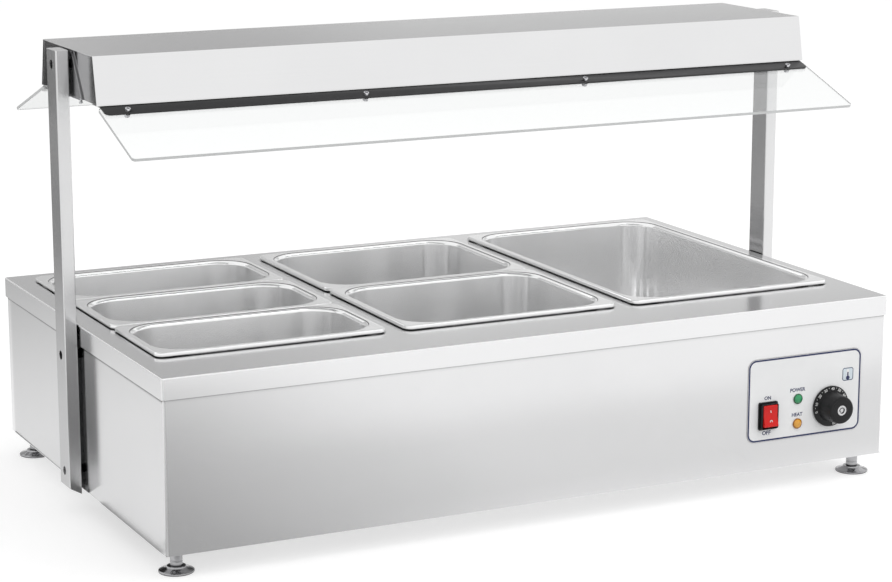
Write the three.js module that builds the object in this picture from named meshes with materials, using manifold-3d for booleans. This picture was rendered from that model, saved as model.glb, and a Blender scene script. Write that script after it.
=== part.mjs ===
import * as THREE from 'three';
import { mergeVertices } from 'three/addons/utils/BufferGeometryUtils.js';
import Module from 'manifold-3d';

// A tabletop bain marie: a heated water bath holding six lift-out food pans, below a
// raised canopy with a glass guard on each long side. Millimetres, +Z up, front
// towards -Y. The origin lies on the floor, under the middle of the bounding box.

const wasm = await Module();
wasm.setup();

// Clearances shared by all the pieces
const seat = 0.3;
const overrun = 1;
const screwPlay = 0.4;

// Steps of round forms
const cornerSteps = 4;
const bendSteps = 3;
const roundSteps = 18;
const smallSteps = 8;
const hexagonSides = 6;

// Food pans in the standard gastronorm sizes, each with its long rim along X
const panWidth = 325;
const fullPanDepth = 530;
const panHeight = 150;
const panSheet = 0.8;
const panCornerRadius = 45;
const panFloorRadius = 18;
const panDraft = 6;
const panEdgeRadius = 5;
const panShoulder = 0.6;
const rimWidth = 12.5;
const rimLip = 6;
const rimEdgeRadius = 2;
const rimCornerRadius = 12;
const panGap = 1;
const barWidth = 27;

// Body and worktop, folded from thin stainless sheet
const endStrip = 29.5;
const frontStrip = 100;
const backStrip = 40;
const footHeight = 32;
const worktopHeight = 264;
const worktopOverhang = 2;
const apronHeight = 28;
const sheet = 1.2;
const bendRadius = 3;
const worktopCornerRadius = 3;
const bottomReturn = 15;
const backFlange = 15;
const trayEdge = 10;
const rimSupport = 10;
const openingCornerRadius = 20;
const openingLip = 6;

// Water tank under the worktop
const tankSheet = 1;
const tankMargin = 8;
const tankHeight = 195;
const tankFlange = 12;
const tankCornerRadius = 25;
const tankFloorRadius = 12;

// Heating element in the water
const elementRadius = 4;
const elementRise = 20;
const elementPitch = 110;
const elementLeftInset = 224;
const elementRightInset = 144;
const elementTurn = 30;
const elementTail = 28;
const terminalPitch = 60;
const fittingRadius = 9;
const fittingLength = 5;
const elementSteps = 8;

// Levelling feet
const footInsetX = 25;
const footInsetY = 34;
const footDiscRadius = 23.5;
const footRimHeight = 2.5;
const footEdge = 0.8;
const footConeHeight = 6;
const footCollarRadius = 13;
const footCollarHeight = 8.5;
const rodRadius = 6;
const rodTop = 46;
const sleeveRadius = 8.2;

// Posts at both ends, with their fixings
const postWidth = 18;
const postDepth = 40;
const postWall = 1.5;
const postCornerRadius = 2;
const postGap = 3.8;
const postBack = 10;
const postBottomOutside = 37;
const postBottomInside = 27;
const postDrop = 1.5;
const accessHoleRadius = 6.5;
const lowFixingRise = 26;
const midFixingDrop = 43.4;
const canopyFixingDrop = 21;
const fixingShankRadius = 2.5;
const fixingHeadRadius = 4.5;
const fixingHeadHeight = 3.5;
const fixingSpacerRadius = 6;
const fixingNutRadius = 4.5;
const fixingNutHeight = 4;
const fixingTail = 2;

// Canopy with its end plates and brackets
const canopyPlay = 4.3;
const canopyDepth = 237;
const canopyTopDepth = 212;
const canopyHeight = 64;
const canopyUnderside = 574;
const canopyReturn = 20;
const endRecess = 1.2;
const endFlange = 12;
const bracketSheet = 2;
const bracketFootDepth = 118;
const bracketCornerRadius = 3;

// Glass guards and the bent rails that carry them
const glassSlope = THREE.MathUtils.degToRad(19.5);
const glassInset = 1.5;
const glassWidth = 140;
const glassThickness = 4;
const glassCornerRadius = 5;
const railInset = 4.5;
const railSheet = 1.5;
const railLeg = 14;
const railFlap = 23;
const railCornerRadius = 8;
const studEdge = 7;
const studRadius = 2.5;
const studHeadRadius = 3.8;
const studHeadHeight = 3.5;
const studNutHeight = 4;
const studEndMargin = 35;
const studCount = 4;

// Control label on the front, and the places of what sits in it
const labelWidth = 188.5;
const labelHeight = 119;
const labelThickness = 0.5;
const labelCornerRadius = 12.5;
const labelRight = 39.5;
const labelRise = 41.5;
const switchX = 32.5;
const switchZ = 37.5;
const lampX = 82.8;
const powerLampZ = 55.8;
const heatLampZ = 19.9;
const knobX = 137.3;
const knobZ = 39.5;

// Rocker switch
const bezelWidth = 31;
const bezelHeight = 40;
const bezelThickness = 2.5;
const bezelCornerRadius = 2.5;
const collarInset = 2;
const collarReach = 8;
const switchBodyInset = 2.2;
const switchBodyDepth = 22;
const pocketDepth = 14;
const tabWidth = 6.3;
const tabThickness = 0.8;
const tabLength = 8;
const tabPitch = 10;
const rockerWidth = 23;
const rockerHeight = 31;
const rockerSidePlay = 0.6;
const rockerEndPlay = 1.5;
const rockerFace = 8.5;
const rockerCrown = 2;
const rockerBack = 4;
const rockerBackHeight = 16;
const rockerTipRadius = 1.5;
const rockerTilt = THREE.MathUtils.degToRad(7);
const pivotRadius = 1.4;
const pivotPlay = 0.3;
const pivotReach = 1.2;

// Pilot lamps
const lampRadius = 7.5;
const lampDome = 3.2;
const lampRim = 1;
const lampBodyRadius = 5.5;
const lampBodyDepth = 16;

// Thermostat and its knob
const knobReach = 32;
const knobGap = 1.2;
const skirtRadius = 29.5;
const skirtThickness = 3;
const skirtBevel = 1;
const hubFootRadius = 21.5;
const hubFrontRadius = 19.5;
const hubEdgeRadius = 2;
const capRadius = 7.5;
const capRecess = 2.5;
const capPlay = 0.3;
const capDish = 3.5;
const knobBoreDepth = 16;
const shaftRadius = 3;
const shaftFlat = 0.9;
const shaftGrip = 14;
const shaftInside = 10;
const thermostatSize = 36;
const thermostatDepth = 24;
const thermostatCornerRadius = 4;
const bridgeWidth = 50;
const bridgeHeight = 28;
const bridgeThickness = 1.5;
const capillaryRadius = 1;
const bulbRadius = 3;
const bulbLength = 90;
const bulbRise = 34;
const bulbInset = 214;
const capillarySteps = 24;

// Shield between the controls and the tank, terminal block, leads and gland
const shieldLength = 145;
const shieldInset = 14;
const shieldFront = 85;
const shieldHeight = 165;
const shieldFoot = 15;
const capillaryOver = 12;
const blockLength = 58;
const blockDepth = 18;
const blockHeight = 14;
const blockRib = 2;
const blockGroove = 5;
const blockPoles = 4;
const blockInset = 199;
const blockFront = 50;
const glandInset = 74;
const glandRise = 38;
const glandReach = 14;
const glandFlangeRadius = 11;
const glandFlange = 3;
const glandCapRadius = 9;
const glandThreadRadius = 7;
const glandBoreRadius = 4.6;
const glandInside = 9;
const glandNutRadius = 11;
const glandNutHeight = 5;
const leadRadius = 3.5;
const leadRise = 8;
const leadStraight = 30;
const leadTail = 10;
const leadSteps = 24;
const thinLeadRadius = 1.5;
const thinLeadSteps = 14;
const thinLeadTail = 4;
const thinLeadSwing = 12;
const leadSides = 6;

// Values that follow from the sizes above
const halfPanDepth = fullPanDepth / 2;
const thirdPanDepth = (fullPanDepth - 2 * panGap) / 3;
const columnPitch = panWidth + barWidth;
const pansLength = panWidth + 2 * columnPitch;
const halfLength = pansLength / 2 + endStrip;
const halfDepth = (frontStrip + fullPanDepth + backStrip) / 2;
const pansBack = (frontStrip - backStrip) / 2;
const frontFace = -halfDepth;
const backFace = halfDepth;
const sheetUnderside = worktopHeight - sheet;
const bodyFixings = [footHeight + lowFixingRise, worktopHeight - midFixingDrop];
const rimTop = worktopHeight + seat + rimLip;
const tankHalfLength = pansLength / 2 - rimSupport + tankMargin;
const tankHalfDepth = fullPanDepth / 2 - rimSupport + tankMargin;
const tankTop = sheetUnderside - seat;
const tankFloor = tankTop - tankHeight + tankSheet;
const tankFront = pansBack - tankHalfDepth - tankSheet;
const baseTop = footHeight + sheet + seat + sheet;
const postInner = halfLength + postGap;
const postOuter = postInner + postWidth;
const canopyTop = canopyUnderside + canopyHeight;
const canopyEnd = postInner - canopyPlay;
const postTop = canopyTop - postDrop;
const labelLeft = halfLength - labelRight - labelWidth;
const labelBottom = footHeight + labelRise;
const labelFace = frontFace - seat - labelThickness;
const elementZ = tankFloor + elementRise;
const elementLeft = elementLeftInset - halfLength;
const elementRight = halfLength - elementRightInset;
const bulbX = halfLength - bulbInset;
const shieldRight = halfLength - shieldInset;
const shieldLeft = shieldRight - shieldLength;
const glandX = halfLength - glandInset;
const glandZ = footHeight + glandRise;
const blockX = halfLength - blockInset;
const blockY = frontFace + blockFront;
const frontReach = halfDepth + knobReach;
const backReach = halfDepth + glandReach;

// Solids and booleans

function toSolid(geometry) {
  const bare = geometry.clone();
  bare.deleteAttribute('normal');
  bare.deleteAttribute('uv');
  const merged = mergeVertices(bare);
  const solid = new wasm.Manifold(new wasm.Mesh({
    numProp: 3,
    vertProperties: new Float32Array(merged.attributes.position.array),
    triVerts: new Uint32Array(merged.index.array),
  }));
  return solid;
}

function toGeometry(solid) {
  const mesh = solid.getMesh();
  const geometry = new THREE.BufferGeometry();
  geometry.setAttribute('position', new THREE.BufferAttribute(mesh.vertProperties, 3));
  geometry.setIndex(new THREE.BufferAttribute(mesh.triVerts, 1));
  geometry.computeVertexNormals();
  return geometry;
}

function join(...geometries) {
  return toGeometry(geometries.map(toSolid).reduce((whole, piece) => whole.add(piece)));
}

function cut(geometry, ...tools) {
  return toGeometry(tools.map(toSolid).reduce((rest, tool) => rest.subtract(tool), toSolid(geometry)));
}

function common(first, second) {
  return toGeometry(toSolid(first).intersect(toSolid(second)));
}

// Outlines

function rectangle(width, height, radius = 0, centreX = 0, centreY = 0) {
  const x = width / 2;
  const y = height / 2;
  const outline = new THREE.Shape();
  if (radius === 0) {
    outline.moveTo(centreX - x, centreY - y);
    outline.lineTo(centreX + x, centreY - y);
    outline.lineTo(centreX + x, centreY + y);
    outline.lineTo(centreX - x, centreY + y);
    return outline;
  }
  outline.absarc(centreX + x - radius, centreY - y + radius, radius, -Math.PI / 2, 0);
  outline.absarc(centreX + x - radius, centreY + y - radius, radius, 0, Math.PI / 2);
  outline.absarc(centreX - x + radius, centreY + y - radius, radius, Math.PI / 2, Math.PI);
  outline.absarc(centreX - x + radius, centreY - y + radius, radius, Math.PI, Math.PI * 1.5);
  return outline;
}

function polygon(points) {
  return new THREE.Shape(points.map(([x, y]) => new THREE.Vector2(x, y)));
}

// A straight run of sheet folded at each corner of an open route, as a section
function foldedSection(route, thickness) {
  const inner = [];
  for (let i = 0; i < route.length; i++) {
    const here = new THREE.Vector2(...route[i]);
    const before = new THREE.Vector2(...route[Math.max(i - 1, 0)]);
    const after = new THREE.Vector2(...route[Math.min(i + 1, route.length - 1)]);
    const arriving = here.clone().sub(before).normalize();
    const leaving = after.clone().sub(here).normalize();
    const first = i === 0 ? leaving : arriving;
    const second = i === route.length - 1 ? arriving : leaving;
    const normal = new THREE.Vector2(-first.y - second.y, first.x + second.x).normalize();
    const stretch = thickness / normal.dot(new THREE.Vector2(-first.y, first.x));
    inner.push([here.x + normal.x * stretch, here.y + normal.y * stretch]);
  }
  return polygon([...route, ...inner.reverse()]);
}

// Extrusions along each axis. The section is drawn as (x, y), (x, z) or (y, z).

function alongZ(outline, from, to, steps = cornerSteps) {
  const geometry = new THREE.ExtrudeGeometry(outline, {
    depth: to - from, bevelEnabled: false, curveSegments: steps,
  });
  return geometry.translate(0, 0, from);
}

function alongX(outline, from, to, steps = cornerSteps) {
  const basis = new THREE.Matrix4().makeBasis(
    new THREE.Vector3(0, 1, 0), new THREE.Vector3(0, 0, 1), new THREE.Vector3(1, 0, 0));
  return alongZ(outline, from, to, steps).applyMatrix4(basis);
}

function towardsFront(outline, from, to, steps = cornerSteps) {
  const basis = new THREE.Matrix4().makeBasis(
    new THREE.Vector3(1, 0, 0), new THREE.Vector3(0, 0, 1), new THREE.Vector3(0, -1, 0));
  return alongZ(outline, -from, -to, steps).applyMatrix4(basis);
}

function slab(lowX, highX, lowY, highY, lowZ, highZ) {
  const geometry = new THREE.BoxGeometry(highX - lowX, highY - lowY, highZ - lowZ);
  return geometry.translate((lowX + highX) / 2, (lowY + highY) / 2, (lowZ + highZ) / 2);
}

// Turned pieces: the profile is [radius, distance along the axis]

function turned(profile, steps = roundSteps) {
  const points = profile.map(([radius, height]) => new THREE.Vector2(radius, height));
  return new THREE.LatheGeometry(points, steps);
}

const turnedUp = (profile, steps) => turned(profile, steps).rotateX(Math.PI / 2);
const turnedToFront = (profile, steps) => turned(profile, steps).rotateX(Math.PI);
const turnedToRight = (profile, steps) => turned(profile, steps).rotateZ(-Math.PI / 2);

function rod(radius, from, to, steps = roundSteps) {
  return [[0, from], [radius, from], [radius, to], [0, to]];
}

// Skins lofted over a stack of rounded rectangles, closed at both ends

function ringAt(halfX, halfY, radius, z) {
  const ring = [];
  const corners = [[1, -1, -0.5], [1, 1, 0], [-1, 1, 0.5], [-1, -1, 1]];
  for (const [sideX, sideY, turnShare] of corners) {
    for (let step = 0; step <= cornerSteps; step++) {
      const angle = Math.PI * turnShare + (Math.PI / 2) * (step / cornerSteps);
      ring.push(new THREE.Vector3(
        sideX * (halfX - radius) + radius * Math.cos(angle),
        sideY * (halfY - radius) + radius * Math.sin(angle),
        z));
    }
  }
  return ring;
}

function loft(rings, capUp) {
  const count = rings[0].length;
  const positions = rings.flat().flatMap((point) => [point.x, point.y, point.z]);
  const index = [];
  for (let row = 0; row + 1 < rings.length; row++) {
    for (let i = 0; i < count; i++) {
      const next = (i + 1) % count;
      const low = row * count;
      const high = low + count;
      index.push(low + i, high + i, high + next, low + i, high + next, low + next);
    }
  }
  const last = (rings.length - 1) * count;
  for (let i = 1; i + 1 < count; i++) {
    index.push(0, i, i + 1);
    index.push(last, last + i + 1, last + i);
  }
  if (!capUp) index.reverse();
  const geometry = new THREE.BufferGeometry();
  geometry.setAttribute('position', new THREE.Float32BufferAttribute(positions, 3));
  geometry.setIndex(index);
  geometry.computeVertexNormals();
  return geometry;
}

// A drawn vessel as one skin: up the inside from the floor, round its soft edge, up a
// small shoulder and out over the rim, down its lip, and back down the outside
function drawnVessel(v) {
  const rings = [];
  const add = (out, z, radius) => rings.push(ringAt(v.halfX + out, v.halfY + out, radius, z));
  const bend = [];
  for (let step = 0; step <= bendSteps; step++) {
    const angle = (Math.PI / 2) * (step / bendSteps);
    bend.push([1 - Math.sin(angle), 1 - Math.cos(angle)]);
  }
  for (const [farShare, nearShare] of bend) {
    const inset = v.draft + v.floorRadius * farShare;
    add(-inset, v.floor + v.floorRadius * nearShare, v.cornerRadius - inset);
  }
  const edgeTop = v.top - v.shoulder;
  for (const [farShare, nearShare] of bend) {
    const out = v.edgeRadius * nearShare;
    add(out, edgeTop - v.edgeRadius * farShare, v.cornerRadius + out);
  }
  if (v.shoulder) {
    const out = v.edgeRadius + v.shoulder;
    add(out, v.top, v.cornerRadius + out);
  }
  add(v.rimWidth - v.rimEdge, v.top, v.rimCornerRadius - v.rimEdge);
  add(v.rimWidth, v.top - v.rimEdge, v.rimCornerRadius);
  add(v.rimWidth, v.top - v.lip, v.rimCornerRadius);
  add(v.rimWidth - v.wall, v.top - v.lip, v.rimCornerRadius - v.wall);
  add(v.rimWidth - v.wall, v.top - v.wall - v.rimEdge / 2, v.rimCornerRadius - v.wall);
  add(v.rimWidth - v.rimEdge, v.top - v.wall, v.rimCornerRadius - v.rimEdge);
  if (v.shoulder) {
    const out = v.edgeRadius + v.shoulder + v.wall / 2;
    add(out, v.top - v.wall, v.cornerRadius + out);
  }
  bend.reverse();
  const edgeInside = v.edgeRadius - v.wall;
  for (const [farShare, nearShare] of bend) {
    const out = v.wall + edgeInside * nearShare;
    add(out, edgeTop - v.wall - edgeInside * farShare, v.cornerRadius + out);
  }
  for (const [farShare, nearShare] of bend) {
    const radius = v.floorRadius + v.wall;
    const inset = v.draft - v.wall + radius * farShare;
    add(-inset, v.floor - v.wall + radius * nearShare, v.cornerRadius - inset);
  }
  return loft(rings, true);
}

// A path through given stations: straight between them, mitred at each one
class StationPath extends THREE.Curve {
  constructor(stations) {
    super();
    this.stations = stations;
  }

  getPointAt(share, target = new THREE.Vector3()) {
    return target.copy(this.stations[Math.round(share * (this.stations.length - 1))]);
  }

  getTangentAt(share, target = new THREE.Vector3()) {
    const last = this.stations.length - 1;
    const i = Math.round(share * last);
    const here = this.stations[i];
    const arriving = here.clone().sub(this.stations[Math.max(i - 1, 0)]).normalize();
    const leaving = this.stations[Math.min(i + 1, last)].clone().sub(here).normalize();
    return target.copy(arriving).add(leaving).normalize();
  }
}

function arcStations(x, y, z, radius, from, to, steps) {
  const stations = [];
  for (let step = 0; step <= steps; step++) {
    const angle = from + (to - from) * (step / steps);
    stations.push(new THREE.Vector3(x + radius * Math.cos(angle), y + radius * Math.sin(angle), z));
  }
  return stations;
}

function roundOutline(radius, sides) {
  const points = [];
  for (let i = 0; i < sides; i++) {
    const angle = (2 * Math.PI * i) / sides;
    points.push([radius * Math.cos(angle), radius * Math.sin(angle)]);
  }
  return polygon(points);
}

function swept(radius, curve, steps, sides = leadSides) {
  return new THREE.ExtrudeGeometry(roundOutline(radius, sides), {
    steps, bevelEnabled: false, extrudePath: curve,
  });
}

// Places shared by several pieces

function columnX(column) {
  return (column - 1) * columnPitch;
}

function footPlaces() {
  const x = halfLength - footInsetX;
  const y = halfDepth - footInsetY;
  return { front_left: [-x, -y], front_right: [x, -y], back_left: [-x, y], back_right: [x, y] };
}

function labelPoint(x, z) {
  return [labelLeft + x, labelBottom + z];
}

function fixingLevels() {
  return [...bodyFixings, canopyTop - canopyFixingDrop];
}

// Body: wrap-round casing, back panel, base tray and worktop

function uSection(halfWidth, front, back, thickness, radius) {
  const inner = radius - thickness;
  const innerHalf = halfWidth - thickness;
  const outline = new THREE.Shape();
  outline.moveTo(-halfWidth, back);
  outline.absarc(-halfWidth + radius, front + radius, radius, Math.PI, Math.PI * 1.5);
  outline.absarc(halfWidth - radius, front + radius, radius, Math.PI * 1.5, Math.PI * 2);
  outline.lineTo(halfWidth, back);
  outline.lineTo(innerHalf, back);
  outline.absarc(halfWidth - radius, front + radius, inner, Math.PI * 2, Math.PI * 1.5, true);
  outline.absarc(-halfWidth + radius, front + radius, inner, Math.PI * 1.5, Math.PI, true);
  outline.lineTo(-innerHalf, back);
  return outline;
}

function controlCutouts(from, to, play) {
  const [switchAtX, switchAtZ] = labelPoint(switchX, switchZ);
  const [knobAtX, knobAtZ] = labelPoint(knobX, knobZ);
  const [lampAtX, powerAtZ] = labelPoint(lampX, powerLampZ);
  const heatAtZ = labelPoint(lampX, heatLampZ)[1];
  const round = (radius, x, z) => turnedToFront(rod(radius, -from, -to), 2 * smallSteps).translate(x, 0, z);
  return [
    towardsFront(rectangle(
      bezelWidth - 2 * switchBodyInset + 2 * play, bezelHeight - 2 * switchBodyInset + 2 * play,
      0, switchAtX, switchAtZ), from, to),
    round(shaftRadius + 2 * play, knobAtX, knobAtZ),
    round(lampBodyRadius + play, lampAtX, powerAtZ),
    round(lampBodyRadius + play, lampAtX, heatAtZ),
  ];
}

function casing() {
  const top = sheetUnderside - seat;
  const back = backFace - seat;
  const wrap = alongZ(uSection(halfLength, frontFace, back, sheet, bendRadius), footHeight, top);
  const inside = halfLength - sheet / 2;
  const frontReturn = slab(
    -inside, inside, frontFace + sheet / 2, frontFace + bottomReturn, footHeight, footHeight + sheet);
  const sideReturns = [-1, 1].map((side) => {
    const outer = side * inside;
    const inner = side * (halfLength - bottomReturn);
    return slab(
      Math.min(outer, inner), Math.max(outer, inner),
      frontFace + sheet / 2, back - backFlange, footHeight, footHeight + sheet);
  });
  const holes = bodyFixings.map((height) => turnedToRight(
    rod(fixingShankRadius + screwPlay, -halfLength - overrun, halfLength + overrun), smallSteps)
    .translate(0, postBack, height));
  return cut(
    join(wrap, frontReturn, ...sideReturns),
    ...controlCutouts(frontFace + sheet + overrun, frontFace - overrun, screwPlay),
    ...holes);
}

function backPanel() {
  const halfWidth = halfLength - sheet - seat;
  const outline = uSection(halfWidth, -(backFace - seat), -(backFace - seat - backFlange), sheet, bendRadius);
  const panel = alongZ(outline, footHeight, sheetUnderside - seat).rotateZ(Math.PI);
  const glandHole = turnedToFront(
    rod(glandThreadRadius + screwPlay, -backFace - overrun, -backFace + bendRadius + overrun))
    .translate(glandX, 0, glandZ);
  return cut(panel, glandHole);
}

function baseTray() {
  const low = footHeight + sheet + seat;
  const halfWidth = halfLength - 2 * sheet - 2 * seat;
  const front = frontFace + sheet + seat;
  const back = backFace - 2 * seat - sheet;
  const centre = (front + back) / 2;
  const half = (back - front) / 2;
  const rings = [
    ringAt(halfWidth - sheet, half - sheet, bendRadius - sheet, low + sheet),
    ringAt(halfWidth - sheet, half - sheet, bendRadius - sheet, low + trayEdge),
    ringAt(halfWidth, half, bendRadius, low + trayEdge),
    ringAt(halfWidth, half, bendRadius, low),
  ];
  const tray = loft(rings, true).translate(0, centre, 0);
  const holes = Object.values(footPlaces()).map(([x, y]) => turnedUp(
    rod(rodRadius + screwPlay, low - overrun, low + sheet + overrun)).translate(x, y, 0));
  return cut(tray, ...holes);
}

function worktop() {
  const halfX = halfLength + worktopOverhang;
  const halfY = halfDepth + worktopOverhang;
  const bottom = worktopHeight - apronHeight;
  const rings = [
    ringAt(halfX - sheet, halfY - sheet, worktopCornerRadius - sheet, sheetUnderside),
    ringAt(halfX - sheet, halfY - sheet, worktopCornerRadius - sheet, bottom),
    ringAt(halfX, halfY, worktopCornerRadius, bottom),
  ];
  const edge = worktopCornerRadius / 2;
  for (let step = 0; step <= bendSteps; step++) {
    const angle = (Math.PI / 2) * (step / bendSteps);
    const inset = edge * (1 - Math.cos(angle));
    rings.push(ringAt(
      halfX - inset, halfY - inset, worktopCornerRadius - inset,
      worktopHeight - edge * (1 - Math.sin(angle))));
  }
  const top = loft(rings, false);
  const width = panWidth - 2 * rimSupport;
  const depth = fullPanDepth - 2 * rimSupport;
  const lips = [0, 1, 2].map((column) => alongZ(
    rectangle(width + 2 * sheet, depth + 2 * sheet, openingCornerRadius + sheet, columnX(column), pansBack),
    worktopHeight - openingLip, worktopHeight - sheet / 2));
  const openings = [0, 1, 2].map((column) => alongZ(
    rectangle(width, depth, openingCornerRadius, columnX(column), pansBack),
    worktopHeight - openingLip - overrun, worktopHeight + overrun));
  return cut(join(top, ...lips), ...openings);
}

// Bath: tank and heating element

function terminalXs() {
  const right = elementRight + elementTurn;
  return [right, right - terminalPitch];
}

function tank() {
  const vessel = drawnVessel({
    halfX: tankHalfLength, halfY: tankHalfDepth, cornerRadius: tankCornerRadius,
    floorRadius: tankFloorRadius, draft: 0, edgeRadius: 2 * tankSheet, wall: tankSheet,
    top: tankTop, floor: tankFloor, shoulder: 0,
    rimWidth: tankFlange, rimEdge: tankSheet / 2, lip: 2 * tankSheet,
    rimCornerRadius: tankCornerRadius,
  }).translate(0, pansBack, 0);
  const holes = terminalXs().map((x) => turnedToFront(
    rod(elementRadius + screwPlay, -tankFront - tankSheet - overrun, -tankFront + overrun), smallSteps)
    .translate(x, 0, elementZ));
  return cut(vessel, ...holes);
}

// One tube from terminal to terminal: an outer loop with an inner one inside it
function heatingElement() {
  const half = elementPitch / 2;
  const outer = 3 * half;
  const left = elementLeft;
  const right = elementRight;
  const backTurn = right - elementTurn;
  const [farX, nearX] = terminalXs();
  const tailEnd = tankFront - elementTail;
  const quarter = Math.PI / 2;
  const arc = (x, offset, radius, from, to, steps) => arcStations(
    x, pansBack + offset, elementZ, radius, from, to, steps);
  const stations = [
    new THREE.Vector3(nearX, tailEnd, elementZ),
    ...arc(nearX - elementTurn, -outer - elementTurn, elementTurn, 0, quarter, bendSteps),
    ...arc(left, 0, outer, 3 * quarter, quarter, cornerSteps * 2),
    ...arc(backTurn, 2 * half, half, quarter, -quarter, bendSteps * 2),
    ...arc(left, 0, half, quarter, 3 * quarter, bendSteps * 2),
    ...arc(right, -half - elementTurn, elementTurn, quarter, 0, bendSteps),
    new THREE.Vector3(farX, tailEnd, elementZ),
  ];
  const tube = swept(elementRadius, new StationPath(stations), stations.length - 1, elementSteps);
  const fittings = terminalXs().map((x) => turnedToFront(
    rod(fittingRadius, -tankFront + seat, -tankFront + seat + fittingLength), cornerSteps * 2)
    .translate(x, 0, elementZ));
  return join(tube, ...fittings);
}

// Pans

function pan(depth) {
  return drawnVessel({
    halfX: panWidth / 2 - rimWidth, halfY: depth / 2 - rimWidth, cornerRadius: panCornerRadius,
    floorRadius: panFloorRadius, draft: panDraft, edgeRadius: panEdgeRadius, wall: panSheet,
    top: rimTop, floor: rimTop - panHeight + panSheet, shoulder: panShoulder,
    rimWidth, rimEdge: rimEdgeRadius, lip: rimLip, rimCornerRadius,
  });
}

// Feet

function foot() {
  return turnedUp([
    [0, 0], [footDiscRadius - footEdge, 0], [footDiscRadius, footEdge],
    [footDiscRadius, footRimHeight], [footCollarRadius, footConeHeight],
    [footCollarRadius - footEdge, footCollarHeight],
    [rodRadius, footCollarHeight], [rodRadius, rodTop], [0, rodTop],
  ]);
}

function footSleeve() {
  const bore = rodRadius + screwPlay;
  const low = footCollarHeight + seat;
  const high = footHeight + sheet;
  return turnedUp([[bore, low], [sleeveRadius, low], [sleeveRadius, high], [bore, high], [bore, low]]);
}

// Posts

function post() {
  const centre = postInner + postWidth / 2;
  const outline = rectangle(postWidth, postDepth, postCornerRadius, centre, postBack);
  const hollow = rectangle(
    postWidth - 2 * postWall, postDepth - 2 * postWall, postCornerRadius / 2, centre, postBack);
  const tube = cut(
    alongZ(outline, postBottomInside, postTop, bendSteps),
    alongZ(hollow, postBottomInside - overrun, postTop - postWall, bendSteps));
  const slant = towardsFront(polygon([
    [postInner, postBottomInside],
    [postInner, postBottomInside - overrun],
    [postOuter + overrun, postBottomInside - overrun],
    [postOuter + overrun, postBottomOutside],
    [postOuter, postBottomOutside],
  ]), postBack + postDepth, postBack - postDepth);
  const holes = fixingLevels().flatMap((height) => [
    turnedToRight(
      rod(fixingShankRadius + screwPlay, postInner - overrun, postInner + postWall + overrun), smallSteps),
    turnedToRight(rod(accessHoleRadius, postOuter - postWall - overrun, postOuter + overrun)),
  ].map((hole) => hole.translate(0, postBack, height)));
  return cut(tube, slant, ...holes);
}

// A bolt inside the post, with the spacer that holds the post off what it carries
function postFixing(seatedAt, carrierInside) {
  const inner = postInner + postWall;
  const nutFrom = carrierInside - seat - fixingNutHeight;
  return turnedToRight([
    [0, nutFrom - fixingTail], [fixingShankRadius, nutFrom - fixingTail], [fixingShankRadius, nutFrom],
    [fixingNutRadius, nutFrom], [fixingNutRadius, nutFrom + fixingNutHeight],
    [fixingShankRadius, nutFrom + fixingNutHeight], [fixingShankRadius, seatedAt + seat],
    [fixingSpacerRadius, seatedAt + seat], [fixingSpacerRadius, postInner - seat],
    [fixingShankRadius, postInner - seat], [fixingShankRadius, inner + seat],
    [fixingHeadRadius, inner + seat], [fixingHeadRadius, inner + seat + fixingHeadHeight],
    [0, inner + seat + fixingHeadHeight],
  ], smallSteps).translate(0, postBack, 0);
}

// Canopy

function canopySection() {
  const foot = canopyDepth / 2;
  const shoulder = canopyTopDepth / 2;
  return foldedSection([
    [-foot + canopyReturn, canopyUnderside],
    [-foot, canopyUnderside],
    [-shoulder, canopyTop],
    [shoulder, canopyTop],
    [foot, canopyUnderside],
    [foot - canopyReturn, canopyUnderside],
  ].reverse(), sheet);
}

function canopyShell() {
  return alongX(canopySection(), -canopyEnd, canopyEnd).translate(0, postBack, 0);
}

function trapezoid(inset, floor) {
  const lean = (canopyDepth - canopyTopDepth) / 2 / canopyHeight;
  const halfAt = (z) => canopyDepth / 2 - (z - canopyUnderside) * lean - inset * Math.hypot(1, lean);
  const top = canopyTop - inset;
  return polygon([
    [-halfAt(floor), floor], [halfAt(floor), floor], [halfAt(top), top], [-halfAt(top), top],
  ]);
}

function canopyEndPlate() {
  const outside = canopyEnd - endRecess;
  const clear = sheet + seat;
  const floor = canopyUnderside + clear;
  const block = alongX(trapezoid(clear, floor), outside - endFlange, outside);
  const pocket = alongX(
    trapezoid(clear + sheet, floor - overrun), outside - endFlange - overrun, outside - sheet);
  const hole = turnedToRight(
    rod(fixingShankRadius + screwPlay, outside - sheet - overrun, outside + overrun), smallSteps)
    .translate(0, 0, canopyTop - canopyFixingDrop);
  return cut(block, pocket, hole).translate(0, postBack, 0);
}

function canopyBracket() {
  const inner = canopyEnd - endRecess + seat;
  const top = canopyTop - sheet - seat - overrun;
  const half = postDepth / 2;
  const foot = bracketFootDepth / 2;
  const radius = bracketCornerRadius;
  const outline = new THREE.Shape();
  outline.moveTo(half, top);
  outline.lineTo(-half, top);
  outline.absarc(-foot + radius, canopyUnderside + radius, radius, Math.PI, Math.PI * 1.5);
  outline.absarc(foot - radius, canopyUnderside + radius, radius, Math.PI * 1.5, Math.PI * 2);
  const plate = alongX(outline, inner, inner + bracketSheet);
  const hole = turnedToRight(
    rod(fixingShankRadius + screwPlay, inner - overrun, inner + bracketSheet + overrun), smallSteps)
    .translate(0, 0, canopyTop - canopyFixingDrop);
  return cut(plate, hole).translate(0, postBack, 0);
}

// Glass guards: drawn for the front, turned about the canopy's middle for the back

function studPlaces() {
  const reach = canopyEnd - glassInset - studEndMargin;
  const places = [];
  for (let i = 0; i < studCount; i++) places.push(reach * ((2 * i) / (studCount - 1) - 1));
  return places;
}

// The top of the rail's fold, below the canopy's front lower edge
function railFold() {
  return [-canopyDepth / 2, canopyUnderside - seat];
}

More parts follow.
